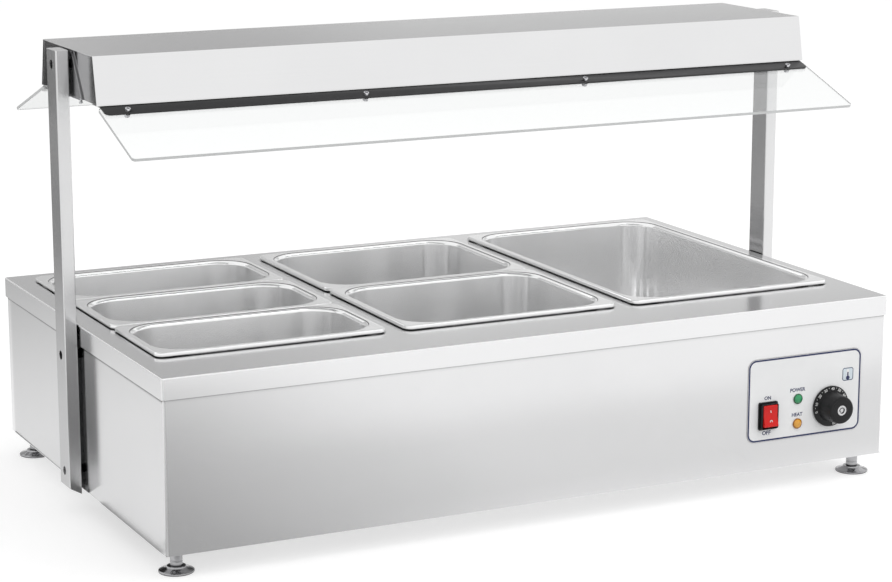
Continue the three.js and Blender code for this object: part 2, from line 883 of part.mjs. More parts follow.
// Puts a sheet drawn flat, with its length along X and its width along -Y, on the slope
function onSlope(geometry) {
  const [foldY, foldZ] = railFold();
  return geometry.rotateX(glassSlope).translate(0, foldY, foldZ);
}

function glassRail() {
  const [foldY, foldZ] = railFold();
  const half = canopyEnd - railInset;
  const front = foldY - railFlap * Math.cos(glassSlope);
  const section = foldedSection([
    [foldY + railLeg, foldZ],
    [foldY, foldZ],
    [front, foldZ - railFlap * Math.sin(glassSlope)],
  ], railSheet);
  const plan = new THREE.Shape();
  plan.moveTo(-half, foldY + railLeg + overrun);
  plan.absarc(-half + railCornerRadius, front + railCornerRadius, railCornerRadius, Math.PI, Math.PI * 1.5);
  plan.absarc(half - railCornerRadius, front + railCornerRadius, railCornerRadius, Math.PI * 1.5, Math.PI * 2);
  plan.lineTo(half, foldY + railLeg + overrun);
  const strip = common(
    alongX(section, -half - overrun, half + overrun),
    alongZ(plan, foldZ - 2 * railFlap, foldZ + overrun));
  const glassTop = -railSheet - seat;
  const nutTop = glassTop - glassThickness - seat;
  const studs = studPlaces().map((x) => onSlope(turnedUp([
    [0, nutTop - studNutHeight], [studHeadRadius, nutTop - studNutHeight],
    [studHeadRadius, nutTop], [studRadius, nutTop], [studRadius, -railSheet / 2],
    [studHeadRadius, -railSheet / 2], [studHeadRadius, studHeadHeight], [0, studHeadHeight],
  ], smallSteps).translate(x, studEdge - railFlap, 0)));
  return join(strip, ...studs).translate(0, postBack, 0);
}

function glassGuard() {
  const outline = rectangle(
    2 * (canopyEnd - glassInset), glassWidth, glassCornerRadius, 0, -glassWidth / 2 - seat);
  const top = -railSheet - seat;
  const pane = alongZ(outline, top - glassThickness, top, bendSteps);
  const holes = studPlaces().map((x) => turnedUp(
    rod(studRadius + screwPlay, top - glassThickness - overrun, top + overrun), smallSteps)
    .translate(x, studEdge - railFlap, 0));
  return onSlope(cut(pane, ...holes)).translate(0, postBack, 0);
}

const toBack = (geometry) => geometry.translate(0, -postBack, 0).rotateZ(Math.PI).translate(0, postBack, 0);

// Controls

function controlLabel() {
  const outline = rectangle(
    labelWidth, labelHeight, labelCornerRadius,
    labelLeft + labelWidth / 2, labelBottom + labelHeight / 2);
  const plate = towardsFront(outline, frontFace - seat, labelFace);
  return cut(plate, ...controlCutouts(frontFace + overrun, labelFace - overrun, screwPlay));
}

function switchPivot() {
  const [x, z] = labelPoint(switchX, switchZ);
  return [x, labelFace - seat, z];
}

function switchHousing() {
  const [x, face, z] = switchPivot();
  const panel = (width, height, radius) => rectangle(width, height, radius, x, z);
  const bezel = towardsFront(panel(bezelWidth, bezelHeight, bezelCornerRadius), face, face - bezelThickness);
  const collar = towardsFront(
    panel(bezelWidth - 2 * collarInset, bezelHeight - 2 * collarInset, bezelCornerRadius),
    face - bezelThickness / 2, face - collarReach);
  const body = towardsFront(
    panel(bezelWidth - 2 * switchBodyInset, bezelHeight - 2 * switchBodyInset, 0),
    face + switchBodyDepth, face - bezelThickness / 2);
  const pocket = towardsFront(
    panel(rockerWidth + 2 * rockerSidePlay, rockerHeight + 2 * rockerEndPlay, 0),
    face + pocketDepth, face - collarReach - overrun);
  const pivotReachHole = rockerWidth / 2 + pivotReach + pivotPlay;
  const pivotHole = turnedToRight(
    rod(pivotRadius + pivotPlay, -pivotReachHole, pivotReachHole), smallSteps).translate(x, face, z);
  const tabs = [-1, 0, 1].map((place) => slab(
    x - tabWidth / 2, x + tabWidth / 2, face + switchBodyDepth - overrun,
    face + switchBodyDepth + tabLength,
    z + place * tabPitch - tabThickness / 2, z + place * tabPitch + tabThickness / 2));
  return join(cut(join(bezel, collar, body), pocket, pivotHole), ...tabs);
}

function switchRocker() {
  const [x, face, z] = switchPivot();
  const half = rockerHeight / 2;
  const backHalf = rockerBackHeight / 2;
  const outline = new THREE.Shape();
  outline.moveTo(rockerBack, -backHalf);
  outline.lineTo(rockerBack, backHalf);
  outline.lineTo(-rockerFace / 2, half);
  outline.absarc(
    -rockerFace - rockerCrown + rockerTipRadius, half - rockerTipRadius, rockerTipRadius,
    Math.PI / 2, Math.PI);
  outline.lineTo(-rockerFace, 0);
  outline.absarc(
    -rockerFace - rockerCrown + rockerTipRadius, -half + rockerTipRadius, rockerTipRadius,
    Math.PI, Math.PI * 1.5);
  outline.lineTo(-rockerFace / 2, -half);
  const key = alongX(outline, -rockerWidth / 2, rockerWidth / 2, bendSteps);
  const pin = turnedToRight(rod(
    pivotRadius, -rockerWidth / 2 - pivotReach, rockerWidth / 2 + pivotReach), smallSteps);
  return join(key, pin).rotateX(-rockerTilt).translate(x, face, z);
}

function pilotLamp(height) {
  const [x, z] = labelPoint(lampX, height);
  const face = -labelFace + seat;
  const profile = [[0, face - lampBodyDepth], [lampBodyRadius, face - lampBodyDepth], [lampBodyRadius, face],
    [lampRadius, face], [lampRadius, face + lampRim]];
  for (let step = 1; step <= cornerSteps; step++) {
    const angle = (Math.PI / 2) * (step / cornerSteps);
    profile.push([lampRadius * Math.cos(angle), face + lampRim + (lampDome - lampRim) * Math.sin(angle)]);
  }
  profile[profile.length - 1][0] = 0;
  return turnedToFront(profile, 2 * smallSteps).translate(x, 0, z);
}

function shaftOutline(radius, flat) {
  const outline = new THREE.Shape();
  const angle = Math.acos((radius - flat) / radius);
  outline.absarc(0, 0, radius, Math.PI / 2 + angle, Math.PI * 2.5 - angle);
  return outline;
}

function knob() {
  const [x, z] = labelPoint(knobX, knobZ);
  const foot = -labelFace + knobGap;
  const front = -frontFace + knobReach;
  const skirtFront = foot + skirtThickness;
  const profile = [[0, foot], [skirtRadius, foot], [skirtRadius, skirtFront - skirtBevel],
    [skirtRadius - skirtBevel, skirtFront], [hubFootRadius, skirtFront]];
  for (let step = 0; step <= bendSteps; step++) {
    const angle = (Math.PI / 2) * (step / bendSteps);
    profile.push([
      hubFrontRadius - hubEdgeRadius * (1 - Math.cos(angle)), front - hubEdgeRadius * (1 - Math.sin(angle))]);
  }
  profile.push([capRadius + capPlay, front], [capRadius + capPlay, front - capRecess], [0, front - capRecess]);
  const body = turnedToFront(profile, 2 * roundSteps).translate(x, 0, z);
  const bore = towardsFront(
    shaftOutline(shaftRadius + seat, shaftFlat), -foot + overrun, -foot - knobBoreDepth)
    .translate(x, 0, z);
  return cut(body, bore);
}

function knobCap() {
  const [x, z] = labelPoint(knobX, knobZ);
  const front = -frontFace + knobReach;
  const low = front - capRecess + seat;
  return turnedToFront([
    [0, low], [capRadius, low], [capRadius, front - seat], [capRadius - seat, front],
    [capDish + seat, front], [capDish, front - seat], [0, front - seat],
  ]).translate(x, 0, z);
}

function thermostatShaft() {
  const [x, z] = labelPoint(knobX, knobZ);
  const foot = -labelFace + knobGap;
  const end = foot + shaftGrip;
  const start = -frontFace - sheet - seat - bridgeThickness - shaftInside;
  const round = towardsFront(roundOutline(shaftRadius, roundSteps), -start, -foot + seat);
  const grip = towardsFront(shaftOutline(shaftRadius, shaftFlat), -foot + overrun, -end);
  return join(round, grip).translate(x, 0, z);
}

function thermostatBody() {
  const [x, z] = labelPoint(knobX, knobZ);
  const front = frontFace + sheet + seat;
  const bridge = towardsFront(rectangle(bridgeWidth, bridgeHeight, thermostatCornerRadius, x, z),
    front + bridgeThickness, front);
  const body = towardsFront(rectangle(thermostatSize, thermostatSize, thermostatCornerRadius, x, z),
    front + bridgeThickness + thermostatDepth, front + bridgeThickness / 2);
  const bore = turnedToFront(
    rod(shaftRadius + screwPlay, -front - bridgeThickness - shaftInside - overrun, -front + overrun),
    smallSteps)
    .translate(x, 0, z);
  return cut(join(bridge, body), bore);
}

function thermostatBulb() {
  const [x, z] = labelPoint(knobX, knobZ);
  const out = frontFace + sheet + seat + bridgeThickness + thermostatDepth + seat;
  const bulbY = tankFront - seat - bulbRadius;
  const bulbZ = tankFloor + bulbRise;
  const overZ = baseTop + shieldHeight + capillaryOver;
  const shieldY = frontFace + shieldFront;
  const bulbEnd = bulbX + bulbLength / 2;
  const route = new THREE.CatmullRomCurve3([
    new THREE.Vector3(x, out, z),
    new THREE.Vector3(x, out + capillaryOver, z + capillaryOver / 2),
    new THREE.Vector3(x, (out + shieldY) / 2, (z + overZ) / 2),
    new THREE.Vector3(x - capillaryOver, shieldY, overZ),
    new THREE.Vector3((x + bulbEnd) / 2, bulbY, (overZ + bulbZ) / 2),
    new THREE.Vector3(bulbEnd + capillaryOver, bulbY, bulbZ),
    new THREE.Vector3(bulbEnd - bulbRadius, bulbY, bulbZ),
  ], false, 'centripetal');
  const tube = swept(capillaryRadius, route, capillarySteps, hexagonSides);
  const half = bulbLength / 2;
  const bulb = turnedToRight([
    [0, -half], [bulbRadius / 2, -half], [bulbRadius, bulbRadius - half],
    [bulbRadius, half - bulbRadius], [bulbRadius / 2, half], [0, half],
  ], smallSteps).translate(bulbX, bulbY, bulbZ);
  return join(tube, bulb);
}

// Inside the control compartment

function controlShield() {
  const y = frontFace + shieldFront;
  const low = baseTop + seat;
  const wall = towardsFront(
    rectangle(
      shieldRight - shieldLeft, shieldHeight, 0, (shieldLeft + shieldRight) / 2, low + shieldHeight / 2),
    y, y - tankSheet);
  const footing = slab(shieldLeft, shieldRight, y - shieldFoot, y - tankSheet / 2, low, low + tankSheet);
  const holes = terminalXs().map((x) => turnedToFront(
    rod(fittingRadius + overrun, -y - overrun, -y + tankSheet + overrun), smallSteps)
    .translate(x, 0, elementZ));
  return cut(join(wall, footing), ...holes);
}

function terminalBlock() {
  const low = baseTop + seat;
  const pitch = (blockLength - blockRib) / blockPoles;
  const points = [[0, 0], [blockLength, 0]];
  for (let rib = blockPoles; rib >= 0; rib--) {
    const right = rib * pitch + blockRib;
    points.push([right, blockHeight], [right - blockRib, blockHeight]);
    if (rib > 0) {
      points.push([right - blockRib, blockHeight - blockGroove]);
      points.push([right - pitch, blockHeight - blockGroove]);
    }
  }
  const body = towardsFront(polygon(points), blockDepth / 2, -blockDepth / 2);
  return body.translate(blockX - blockLength / 2, blockY, low);
}

function cableGland() {
  const outside = backFace - seat;
  const profile = [
    [glandBoreRadius, outside - sheet - glandInside], [glandThreadRadius, outside - sheet - glandInside],
    [glandThreadRadius, outside + seat], [glandFlangeRadius, outside + seat],
    [glandFlangeRadius, outside + seat + glandFlange], [glandCapRadius, outside + seat + glandFlange],
    [glandCapRadius, backFace + glandReach - glandFlange], [glandCapRadius - glandFlange / 2, backReach],
    [glandBoreRadius, backReach], [glandBoreRadius, outside - sheet - glandInside],
  ].map(([radius, y]) => [radius, -y]).reverse();
  return turnedToFront(profile, roundSteps).translate(glandX, 0, glandZ);
}

function glandNut() {
  const from = backFace - seat - sheet - seat;
  const outline = roundOutline(glandNutRadius, hexagonSides);
  outline.holes.push(roundOutline(glandThreadRadius + seat, roundSteps));
  return towardsFront(outline, from, from - glandNutHeight).translate(glandX, 0, glandZ);
}

function mainsLead() {
  const start = backFace - seat - sheet - glandInside - seat;
  const low = baseTop + seat + leadRadius + leadRise;
  const poleZ = baseTop + seat + blockHeight / 2;
  const end = blockY + blockDepth / 2 + seat;
  const route = new THREE.CatmullRomCurve3([
    new THREE.Vector3(glandX, start, glandZ),
    new THREE.Vector3(glandX, start - leadStraight / 2, glandZ),
    new THREE.Vector3(glandX, start - 2 * leadStraight, low),
    new THREE.Vector3(glandX, pansBack, low),
    new THREE.Vector3(blockX, tankFront + leadStraight, low),
    new THREE.Vector3(blockX, end + leadStraight, poleZ + leadRadius),
    new THREE.Vector3(blockX, end + leadTail, poleZ),
    new THREE.Vector3(blockX, end, poleZ),
  ], false, 'centripetal');
  return swept(leadRadius, route, leadSteps);
}

function elementLead() {
  const x = terminalXs()[1];
  const start = tankFront - elementTail - seat;
  const end = blockX + blockLength / 2 + seat;
  const z = baseTop + seat + blockHeight / 2;
  const route = new THREE.CatmullRomCurve3([
    new THREE.Vector3(x, start, elementZ),
    new THREE.Vector3(x, start - thinLeadTail, elementZ),
    new THREE.Vector3(x - thinLeadSwing, (start + blockY) / 2, (elementZ + z) / 2 + thinLeadRadius),
    new THREE.Vector3(end + thinLeadSwing, blockY, z),
    new THREE.Vector3(end + thinLeadTail, blockY, z),
    new THREE.Vector3(end, blockY, z),
  ], false, 'centripetal');
  return swept(thinLeadRadius, route, thinLeadSteps, hexagonSides);
}

// Materials

function steel(colour, roughness) {
  return () => new THREE.MeshStandardMaterial({ color: colour, metalness: 1, roughness });
}

function plastic(colour, roughness) {
  return () => new THREE.MeshStandardMaterial({ color: colour, metalness: 0, roughness });
}

const brushedSteel = steel(0xc9cacb, 0.32);
const satinSteel = steel(0xc2c3c4, 0.4);
const panSteel = steel(0xbfc0c0, 0.36);
const chrome = steel(0xd8d9da, 0.12);
const zinc = steel(0xa9abad, 0.45);
const blackPaint = plastic(0x121314, 0.35);
const blackPlastic = plastic(0x17181a, 0.5);
const labelFilm = plastic(0xeef0f2, 0.45);
const redPlastic = plastic(0xd8140c, 0.3);
const greenLens = plastic(0x118a45, 0.25);
const amberLens = plastic(0xf0a21e, 0.25);
const whitePlastic = plastic(0xe6e4dc, 0.5);
const greyLead = plastic(0x3a3d40, 0.6);
const guardGlass = () => new THREE.MeshStandardMaterial({
  color: 0xe8efee, metalness: 0, roughness: 0.05, transparent: true, opacity: 0.3,
});

// Assembly: everything is placed about the body's centre, then moved so that the
// front and back reach of the part are equal

const group = new THREE.Group();

function place(name, geometry, material, x = 0, y = 0) {
  const mesh = new THREE.Mesh(geometry, material());
  mesh.name = name;
  mesh.position.set(x, y, 0);
  group.add(mesh);
}

place('casing', casing(), brushedSteel);
place('back_panel', backPanel(), brushedSteel);
place('base_tray', baseTray(), satinSteel);
place('worktop', worktop(), brushedSteel);
place('water_tank', tank(), satinSteel);
place('heating_element', heatingElement(), zinc);

const thirdPitch = thirdPanDepth + panGap;
const halfPitch = halfPanDepth + panGap;
place('pan_third_front', pan(thirdPanDepth), panSteel, columnX(0), pansBack - thirdPitch);
place('pan_third_middle', pan(thirdPanDepth), panSteel, columnX(0), pansBack);
place('pan_third_back', pan(thirdPanDepth), panSteel, columnX(0), pansBack + thirdPitch);
place('pan_half_front', pan(halfPanDepth), panSteel, columnX(1), pansBack - halfPitch / 2);
place('pan_half_back', pan(halfPanDepth), panSteel, columnX(1), pansBack + halfPitch / 2);
place('pan_full', pan(fullPanDepth), panSteel, columnX(2), pansBack);

for (const [corner, [x, y]] of Object.entries(footPlaces())) {
  place(`foot_${corner}`, foot(), chrome, x, y);
  place(`foot_sleeve_${corner}`, footSleeve(), chrome, x, y);
}

for (const [name, turn] of [['left', Math.PI], ['right', 0]]) {
  const sided = (geometry) => geometry
    .translate(0, -postBack, 0).rotateZ(turn).translate(0, postBack, 0);
  place(`post_${name}`, sided(post()), brushedSteel);
  const bodyInside = halfLength - sheet;
  const endInside = canopyEnd - endRecess - sheet;
  const bracketOutside = canopyEnd - endRecess + seat + bracketSheet;
  const levels = fixingLevels();
  const lowest = postFixing(halfLength, bodyInside).translate(0, 0, levels[0]);
  const middle = postFixing(halfLength, bodyInside).translate(0, 0, levels[1]);
  const highest = postFixing(bracketOutside, endInside).translate(0, 0, levels[2]);
  place(`fixing_low_${name}`, sided(lowest), zinc);
  place(`fixing_mid_${name}`, sided(middle), zinc);
  place(`fixing_top_${name}`, sided(highest), zinc);
  place(`canopy_end_${name}`, sided(canopyEndPlate()), satinSteel);
  place(`canopy_bracket_${name}`, sided(canopyBracket()), satinSteel);
}

place('canopy_shell', canopyShell(), brushedSteel);
place('glass_rail_front', glassRail(), blackPaint);
place('glass_rail_back', toBack(glassRail()), blackPaint);
place('glass_front', glassGuard(), guardGlass);
place('glass_back', toBack(glassGuard()), guardGlass);

place('control_label', controlLabel(), labelFilm);
place('switch_housing', switchHousing(), blackPlastic);
place('switch_rocker', switchRocker(), redPlastic);
place('lamp_power', pilotLamp(powerLampZ), greenLens);
place('lamp_heat', pilotLamp(heatLampZ), amberLens);
place('knob', knob(), blackPlastic);
place('knob_cap', knobCap(), chrome);
place('thermostat_shaft', thermostatShaft(), zinc);
place('thermostat_body', thermostatBody(), zinc);
place('thermostat_bulb', thermostatBulb(), chrome);
place('control_shield', controlShield(), satinSteel);
place('terminal_block', terminalBlock(), whitePlastic);
place('cable_gland', cableGland(), blackPlastic);
place('gland_nut', glandNut(), blackPlastic);
place('mains_lead', mainsLead(), greyLead);
place('element_lead', elementLead(), greyLead);

group.position.y = (frontReach - backReach) / 2;

export default group;
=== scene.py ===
import math

import bmesh
import bpy
from mathutils import Matrix, Vector


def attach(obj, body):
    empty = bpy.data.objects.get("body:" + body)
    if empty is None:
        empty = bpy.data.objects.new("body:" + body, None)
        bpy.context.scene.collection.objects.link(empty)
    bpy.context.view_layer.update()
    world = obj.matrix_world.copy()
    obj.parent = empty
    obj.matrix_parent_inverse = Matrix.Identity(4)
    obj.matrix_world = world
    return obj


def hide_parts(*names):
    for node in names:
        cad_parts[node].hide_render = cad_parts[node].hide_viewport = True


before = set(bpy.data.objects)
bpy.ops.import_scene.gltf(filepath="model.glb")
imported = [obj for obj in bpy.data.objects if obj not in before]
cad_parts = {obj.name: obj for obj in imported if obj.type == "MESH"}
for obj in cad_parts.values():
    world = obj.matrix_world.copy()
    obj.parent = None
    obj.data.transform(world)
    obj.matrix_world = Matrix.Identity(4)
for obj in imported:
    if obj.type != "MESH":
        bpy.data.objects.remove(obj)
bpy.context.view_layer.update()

# The casing is one 1.2 mm stainless sheet, brushed along its length. It is folded round
# the front and both sides, with narrow returns turned in under the bottom edge.


def node(tree, kind, values=None, **settings):
    """One shader node, its settings, and its sockets linked or set."""
    made = tree.nodes.new(kind)
    for key, value in settings.items():
        setattr(made, key, value)
    for key, value in (values or {}).items():
        if isinstance(value, bpy.types.NodeSocket):
            tree.links.new(value, made.inputs[key])
        else:
            made.inputs[key].default_value = value
    return made


def new_finish(name):
    """A material with its node tree, its surface shader and the place on the piece."""
    finish = bpy.data.materials.new(name)
    finish.use_nodes = True
    tree = finish.node_tree
    place = node(tree, "ShaderNodeTexCoord").outputs["Object"]
    return finish, tree, tree.nodes["Principled BSDF"], place


def noise(tree, place, scale, detail, roughness=0.5, distortion=0.0):
    """A random grain over the piece."""
    return node(tree, "ShaderNodeTexNoise", {
        "Vector": place, "Scale": scale, "Detail": detail, "Roughness": roughness,
        "Distortion": distortion}).outputs[0]


def stretched(tree, place, scale):
    """The place on the piece scaled along each axis, which draws a grain into lines."""
    return node(tree, "ShaderNodeMapping", {"Vector": place, "Scale": scale}).outputs[0]


def spread(tree, value, low, high, to_low=0.0, to_high=1.0, **settings):
    """A value from one range mapped to another, and held at its ends."""
    return node(tree, "ShaderNodeMapRange", {
        "Value": value, "From Min": low, "From Max": high,
        "To Min": to_low, "To Max": to_high}, **settings).outputs["Result"]


def combine(tree, operation, first, second):
    """One value out of two, such as their product."""
    return node(tree, "ShaderNodeMath", {0: first, 1: second}, operation=operation).outputs[0]


def blend_colours(tree, share, first, second):
    """A colour between two others, each a socket or red, green and blue."""
    first, second = (colour if isinstance(colour, bpy.types.NodeSocket) else (*colour, 1)
                     for colour in (first, second))
    return node(tree, "ShaderNodeMix", {0: share, 6: first, 7: second},
                data_type="RGBA").outputs[2]


def drifting(tree, share, tone, darker, lighter):
    """A tone that drifts between a little darker and a little lighter."""
    return blend_colours(tree, share, [part * darker for part in tone],
                         [min(part * lighter, 1) for part in tone])


def rubbed_edges(tree, radius):
    """Near 1 along the sharp edges of a piece, where handling has rubbed it."""
    rounded = node(tree, "ShaderNodeBevel", {"Radius": radius}, samples=4)
    normal = node(tree, "ShaderNodeNewGeometry").outputs["Normal"]
    agree = node(tree, "ShaderNodeVectorMath", {0: rounded.outputs[0], 1: normal},
                 operation="DOT_PRODUCT").outputs["Value"]
    return spread(tree, agree, 0.99, 0.80)


def seams(tree, reach, low, high):
    """Near 0 in the narrow gaps between pieces and 1 elsewhere: painted shade in the seams."""
    open_share = node(tree, "ShaderNodeAmbientOcclusion", {"Distance": reach}, samples=8)
    return spread(tree, open_share.outputs["AO"], low, high)


def cover(tree, shader, colour, gloss, grain, strength, depth=0.0001, metal=0.0):
    """Feeds the surface shader its colour, its roughness and the relief of a grain."""
    relief = node(tree, "ShaderNodeBump", {
        "Height": grain, "Strength": strength, "Distance": depth}).outputs[0]
    for key, source in (("Base Color", colour), ("Roughness", gloss), ("Normal", relief)):
        tree.links.new(source, shader.inputs[key])
    shader.inputs["Metallic"].default_value = metal


def set_all_over(finish, key, value):
    """Sets one of the surface shader's own values, the same all over the piece."""
    finish.node_tree.nodes["Principled BSDF"].inputs[key].default_value = value


def brushed(name, tone, roughness, stretch, edge=0.0012, dust_and_seam_shade=(0.004, 0.50, 0.92)):
    """Stainless sheet: grain lines, clouds from handling, painted shade in the seams, and a
    painted highlight along sharp edges, partly rubbed wear.
    """
    finish, tree, shader, place = new_finish(name)
    fine = noise(tree, stretched(tree, place, stretch), 1.0, 5.0, 0.7)
    clouds = noise(tree, place, 7.0, 4.0, 0.55)
    streaked = drifting(tree, spread(tree, fine, 0.3, 0.7), tone, 0.99, 1.01)
    shaded = blend_colours(tree, spread(tree, clouds, 0.35, 0.65, 0.0, 0.04),
                           streaked, (0.45, 0.45, 0.46))
    # Lighter along sharp edges: a painted highlight, partly rubbed wear.
    rubbed = blend_colours(tree, rubbed_edges(tree, edge), shaded, (0.95, 0.95, 0.955))
    # Nearly black in the narrow gaps between pieces: painted shade in the seams.
    colour = blend_colours(tree, seams(tree, *dust_and_seam_shade), (0.03, 0.03, 0.032), rubbed)
    gloss = combine(tree, "ADD",
                    spread(tree, fine, 0.3, 0.7, roughness - 0.004, roughness + 0.004),
                    spread(tree, clouds, 0.3, 0.7, -0.004, 0.008))
    cover(tree, shader, colour, gloss, fine, 0.02, metal=1.0)
    return finish


def add_piece(name, mesh, finish, body, slot, *replaced):
    """Puts a finished mesh in the scene on its body, and hides the CAD nodes it replaces."""
    piece = bpy.data.objects.new(name, mesh)
    bpy.context.collection.objects.link(piece)
    mesh.materials.append(finish)
    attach(piece, body)
    if replaced:
        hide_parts(*replaced)
    return piece


def smoothed(work, name, angle):
    """The drawing as a mesh, smooth but for its edges sharper than an angle in degrees."""
    mesh = bpy.data.meshes.new(name)
    work.to_mesh(mesh)
    work.free()
    mesh.shade_smooth()
    mesh.set_sharp_from_angle(angle=math.radians(angle))
    return mesh


def keep_flats(piece):
    """Keeps the shading of a piece's flat faces flat."""
    piece.modifiers.new("flats", "WEIGHTED_NORMAL").keep_sharp = True


def dressed(node_name, name, finish, body, slot, width=0.0, segments=2, angle=40):
    """A CAD node's own shape with its seams merged, bends smoothed and edges rounded."""
    work = bmesh.new()
    work.from_mesh(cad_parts[node_name].data)
    bmesh.ops.remove_doubles(work, verts=work.verts, dist=2e-6)
    bmesh.ops.dissolve_limit(work, angle_limit=math.radians(0.5),
                             verts=work.verts, edges=work.edges)
    mesh = smoothed(work, name, 180 if width else angle)
    piece = add_piece(name, mesh, finish, body, slot, node_name)
    if width:
        rounding = piece.modifiers.new("edges", "BEVEL")
        rounding.width = width
        rounding.segments = segments
        rounding.limit_method = "ANGLE"
        rounding.angle_limit = math.radians(50)
    keep_flats(piece)
    return piece


def give_faces(piece, finish, chosen):
    """Gives a further finish to the faces whose direction is chosen."""
    piece.data.materials.append(finish)
    for face in piece.data.polygons:
        if chosen(face.normal):
            face.material_index = len(piece.data.materials) - 1


def on_bend(normal):
    """True on the rounded bends of a folded sheet, and not on its flat faces."""
    return max(abs(part) for part in normal) < 0.985


steel_tone = (0.73, 0.73, 0.735)
along_x = (3, 1300, 1300)
# The seam settings of these steels give painted shade in their narrow gaps, such as under the
# worktop's apron.
length_grain = brushed("steel brushed along the length", steel_tone, 0.14, along_x,
                       dust_and_seam_shade=(0.0062, 0.50, 0.95))
# The side faces carry a deeper painted shade in the seam under the apron.
side_steel_deeper_seam_shade = brushed("steel of the sides", steel_tone, 0.14, along_x, dust_and_seam_shade=(0.0055, 0.95, 0.99))
# A near-white, part-diffuse steel on the bends of the casing and worktop: a painted highlight
# along the folds.
painted_bend_highlight = brushed("painted highlight on the bends", (0.96, 0.96, 0.965), 0.30, along_x, edge=0.0004)
set_all_over(painted_bend_highlight, "Metallic", 0.45)
casing = dressed("casing", "casing_sheet", length_grain, "frame", "brushed_steel")
give_faces(casing, painted_bend_highlight, on_bend)
give_faces(casing, side_steel_deeper_seam_shade, lambda normal: abs(normal.x) > 0.99)

# The back panel is a flat sheet with its two edges folded forwards, spot-welded inside the
# ends of the casing. The base tray closes the bottom, with its edge folded up.

dressed("back_panel", "back_sheet", length_grain, "frame", "brushed_steel")
satin_grain = brushed("satin steel", (0.57, 0.57, 0.575), 0.36, (60, 900, 900))
dressed("base_tray", "base_sheet", satin_grain, "frame", "satin_steel")

# Each levelling foot is a turned and chromed disc with a threaded rod, which screws into
# a chromed sleeve welded under the base.


def chain(work, places):
    """New points at some places, and the edges that join them in that order."""
    verts = [work.verts.new(place) for place in places]
    return verts, [work.edges.new(pair) for pair in zip(verts, verts[1:])]


def spin_closed(work, outline, steps):
    """A body turned about Z from (radius, height) in mm, its poles merged, its faces out."""
    verts, edges = chain(work, [(radius / 1000, 0, height / 1000) for radius, height in outline])
    bmesh.ops.spin(work, geom=verts + edges, cent=(0, 0, 0), axis=(0, 0, 1), dvec=(0, 0, 0),
                   angle=math.tau, steps=steps, use_merge=True, use_duplicate=False)
    bmesh.ops.remove_doubles(work, verts=work.verts, dist=1e-6)
    bmesh.ops.recalc_face_normals(work, faces=work.faces)


def laid(place, onto):
    """The move that lays a turned shape's axis along a direction, at a place."""
    return Matrix.Translation(place) @ Vector(onto).to_track_quat("Z", "Y").to_matrix().to_4x4()


def turned(name, outline, steps, place, finish, body, slot, *replaced,
           angle=32, onto=(0, 0, 1)):
    """A turned piece from its outline in mm, put in its place."""
    work = bmesh.new()
    spin_closed(work, outline, steps)
    bmesh.ops.transform(work, matrix=laid(place, onto), verts=work.verts)
    add_piece(name, smoothed(work, name, angle), finish, body, slot, *replaced)


def thread(radius, depth, low, high, pitch):
    """The outline of a screw thread between two heights."""
    points = []
    height = low
    while height + pitch <= high:
        points += [(radius - depth, height), (radius, height + pitch / 2)]
        height += pitch
    return points + [(radius - depth, height)]


def polished(name, tone, roughness, scratches=0.05, corner=0.002):
    """Plated metal: fine hazy scratches in the polish and painted shade in the corners."""
    finish, tree, shader, place = new_finish(name)
    haze = noise(tree, place, 160.0, 6.0, 0.6)
    lines = noise(tree, stretched(tree, place, (30, 30, 1500)), 1.0, 4.0)
    plated = drifting(tree, spread(tree, haze, 0.35, 0.65), tone, 0.94, 1.05)
    # Nearly black in corners and narrow gaps: painted shade.
    colour = blend_colours(tree, seams(tree, corner, 0.35, 0.85), (0.03, 0.03, 0.032), plated)
    gloss = spread(tree, haze, 0.3, 0.7, roughness * 0.75, roughness * 1.35)
    cover(tree, shader, colour, gloss, lines, scratches, 0.0002, metal=1.0)
    return finish


chrome = polished("chrome plating", (0.42, 0.42, 0.43), 0.10, corner=0.006)
foot_outline = [
    (0, 0), (22.2, 0), (23.1, 0.3), (23.5, 1.0), (23.5, 2.0), (23.2, 2.6), (22.4, 3.1),
    (19.5, 3.9), (16.0, 5.0), (13.8, 5.9), (12.9, 6.6), (12.7, 7.6), (12.2, 8.3), (11.4, 8.5),
    (7.2, 8.5), (6.4, 8.8), *thread(6.0, 0.6, 9.2, 44.8, 1.75), (4.6, 46), (0, 46)]
sleeve_outline = [
    (6.4, 9.4), (6.9, 8.9), (7.6, 8.8), (8.1, 9.1), (8.2, 9.6), (8.2, 14.2), (7.8, 14.7),
    (7.8, 15.5), (8.2, 16.0), (8.2, 32.9), (7.9, 33.2), (6.7, 33.2), (6.4, 32.9), (6.4, 9.4)]
for depth, y in (("front", -0.292), ("back", 0.310)):
    for side, x in (("left", -0.519), ("right", 0.519)):
        corner = f"{depth}_{side}"
        turned(f"foot_disc_{corner}", foot_outline, 48, (x, y, 0), chrome,
               f"foot_{corner}", "chrome", f"foot_{corner}")
        turned(f"foot_tube_{corner}", sleeve_outline, 40, (x, y, 0), chrome,
               "frame", "chrome", f"foot_sleeve_{corner}")

# The water tank is pressed from 1 mm sheet and hangs by its flange under the worktop.
# The heating element is an annealed steel tube, bent into two loops and brazed to two
# fittings.

tank_steel = brushed("tank steel", (0.56, 0.56, 0.565), 0.34, (90, 700, 700))
dressed("water_tank", "tank_pressing", tank_steel, "frame", "satin_steel", angle=50)


def sheathed(name, tone, stain, roughness):
    """Annealed tube: heat stains and fine specks in a dull scale."""
    finish, tree, shader, place = new_finish(name)
    patches = noise(tree, place, 26.0, 5.0, 0.6)
    specks = noise(tree, place, 900.0, 3.0)
    colour = blend_colours(tree, spread(tree, patches, 0.4, 0.62), tone, stain)
    gloss = spread(tree, patches, 0.3, 0.7, roughness, roughness + 0.16)
    cover(tree, shader, colour, gloss, specks, 0.15, 0.0002, metal=1.0)
    return finish


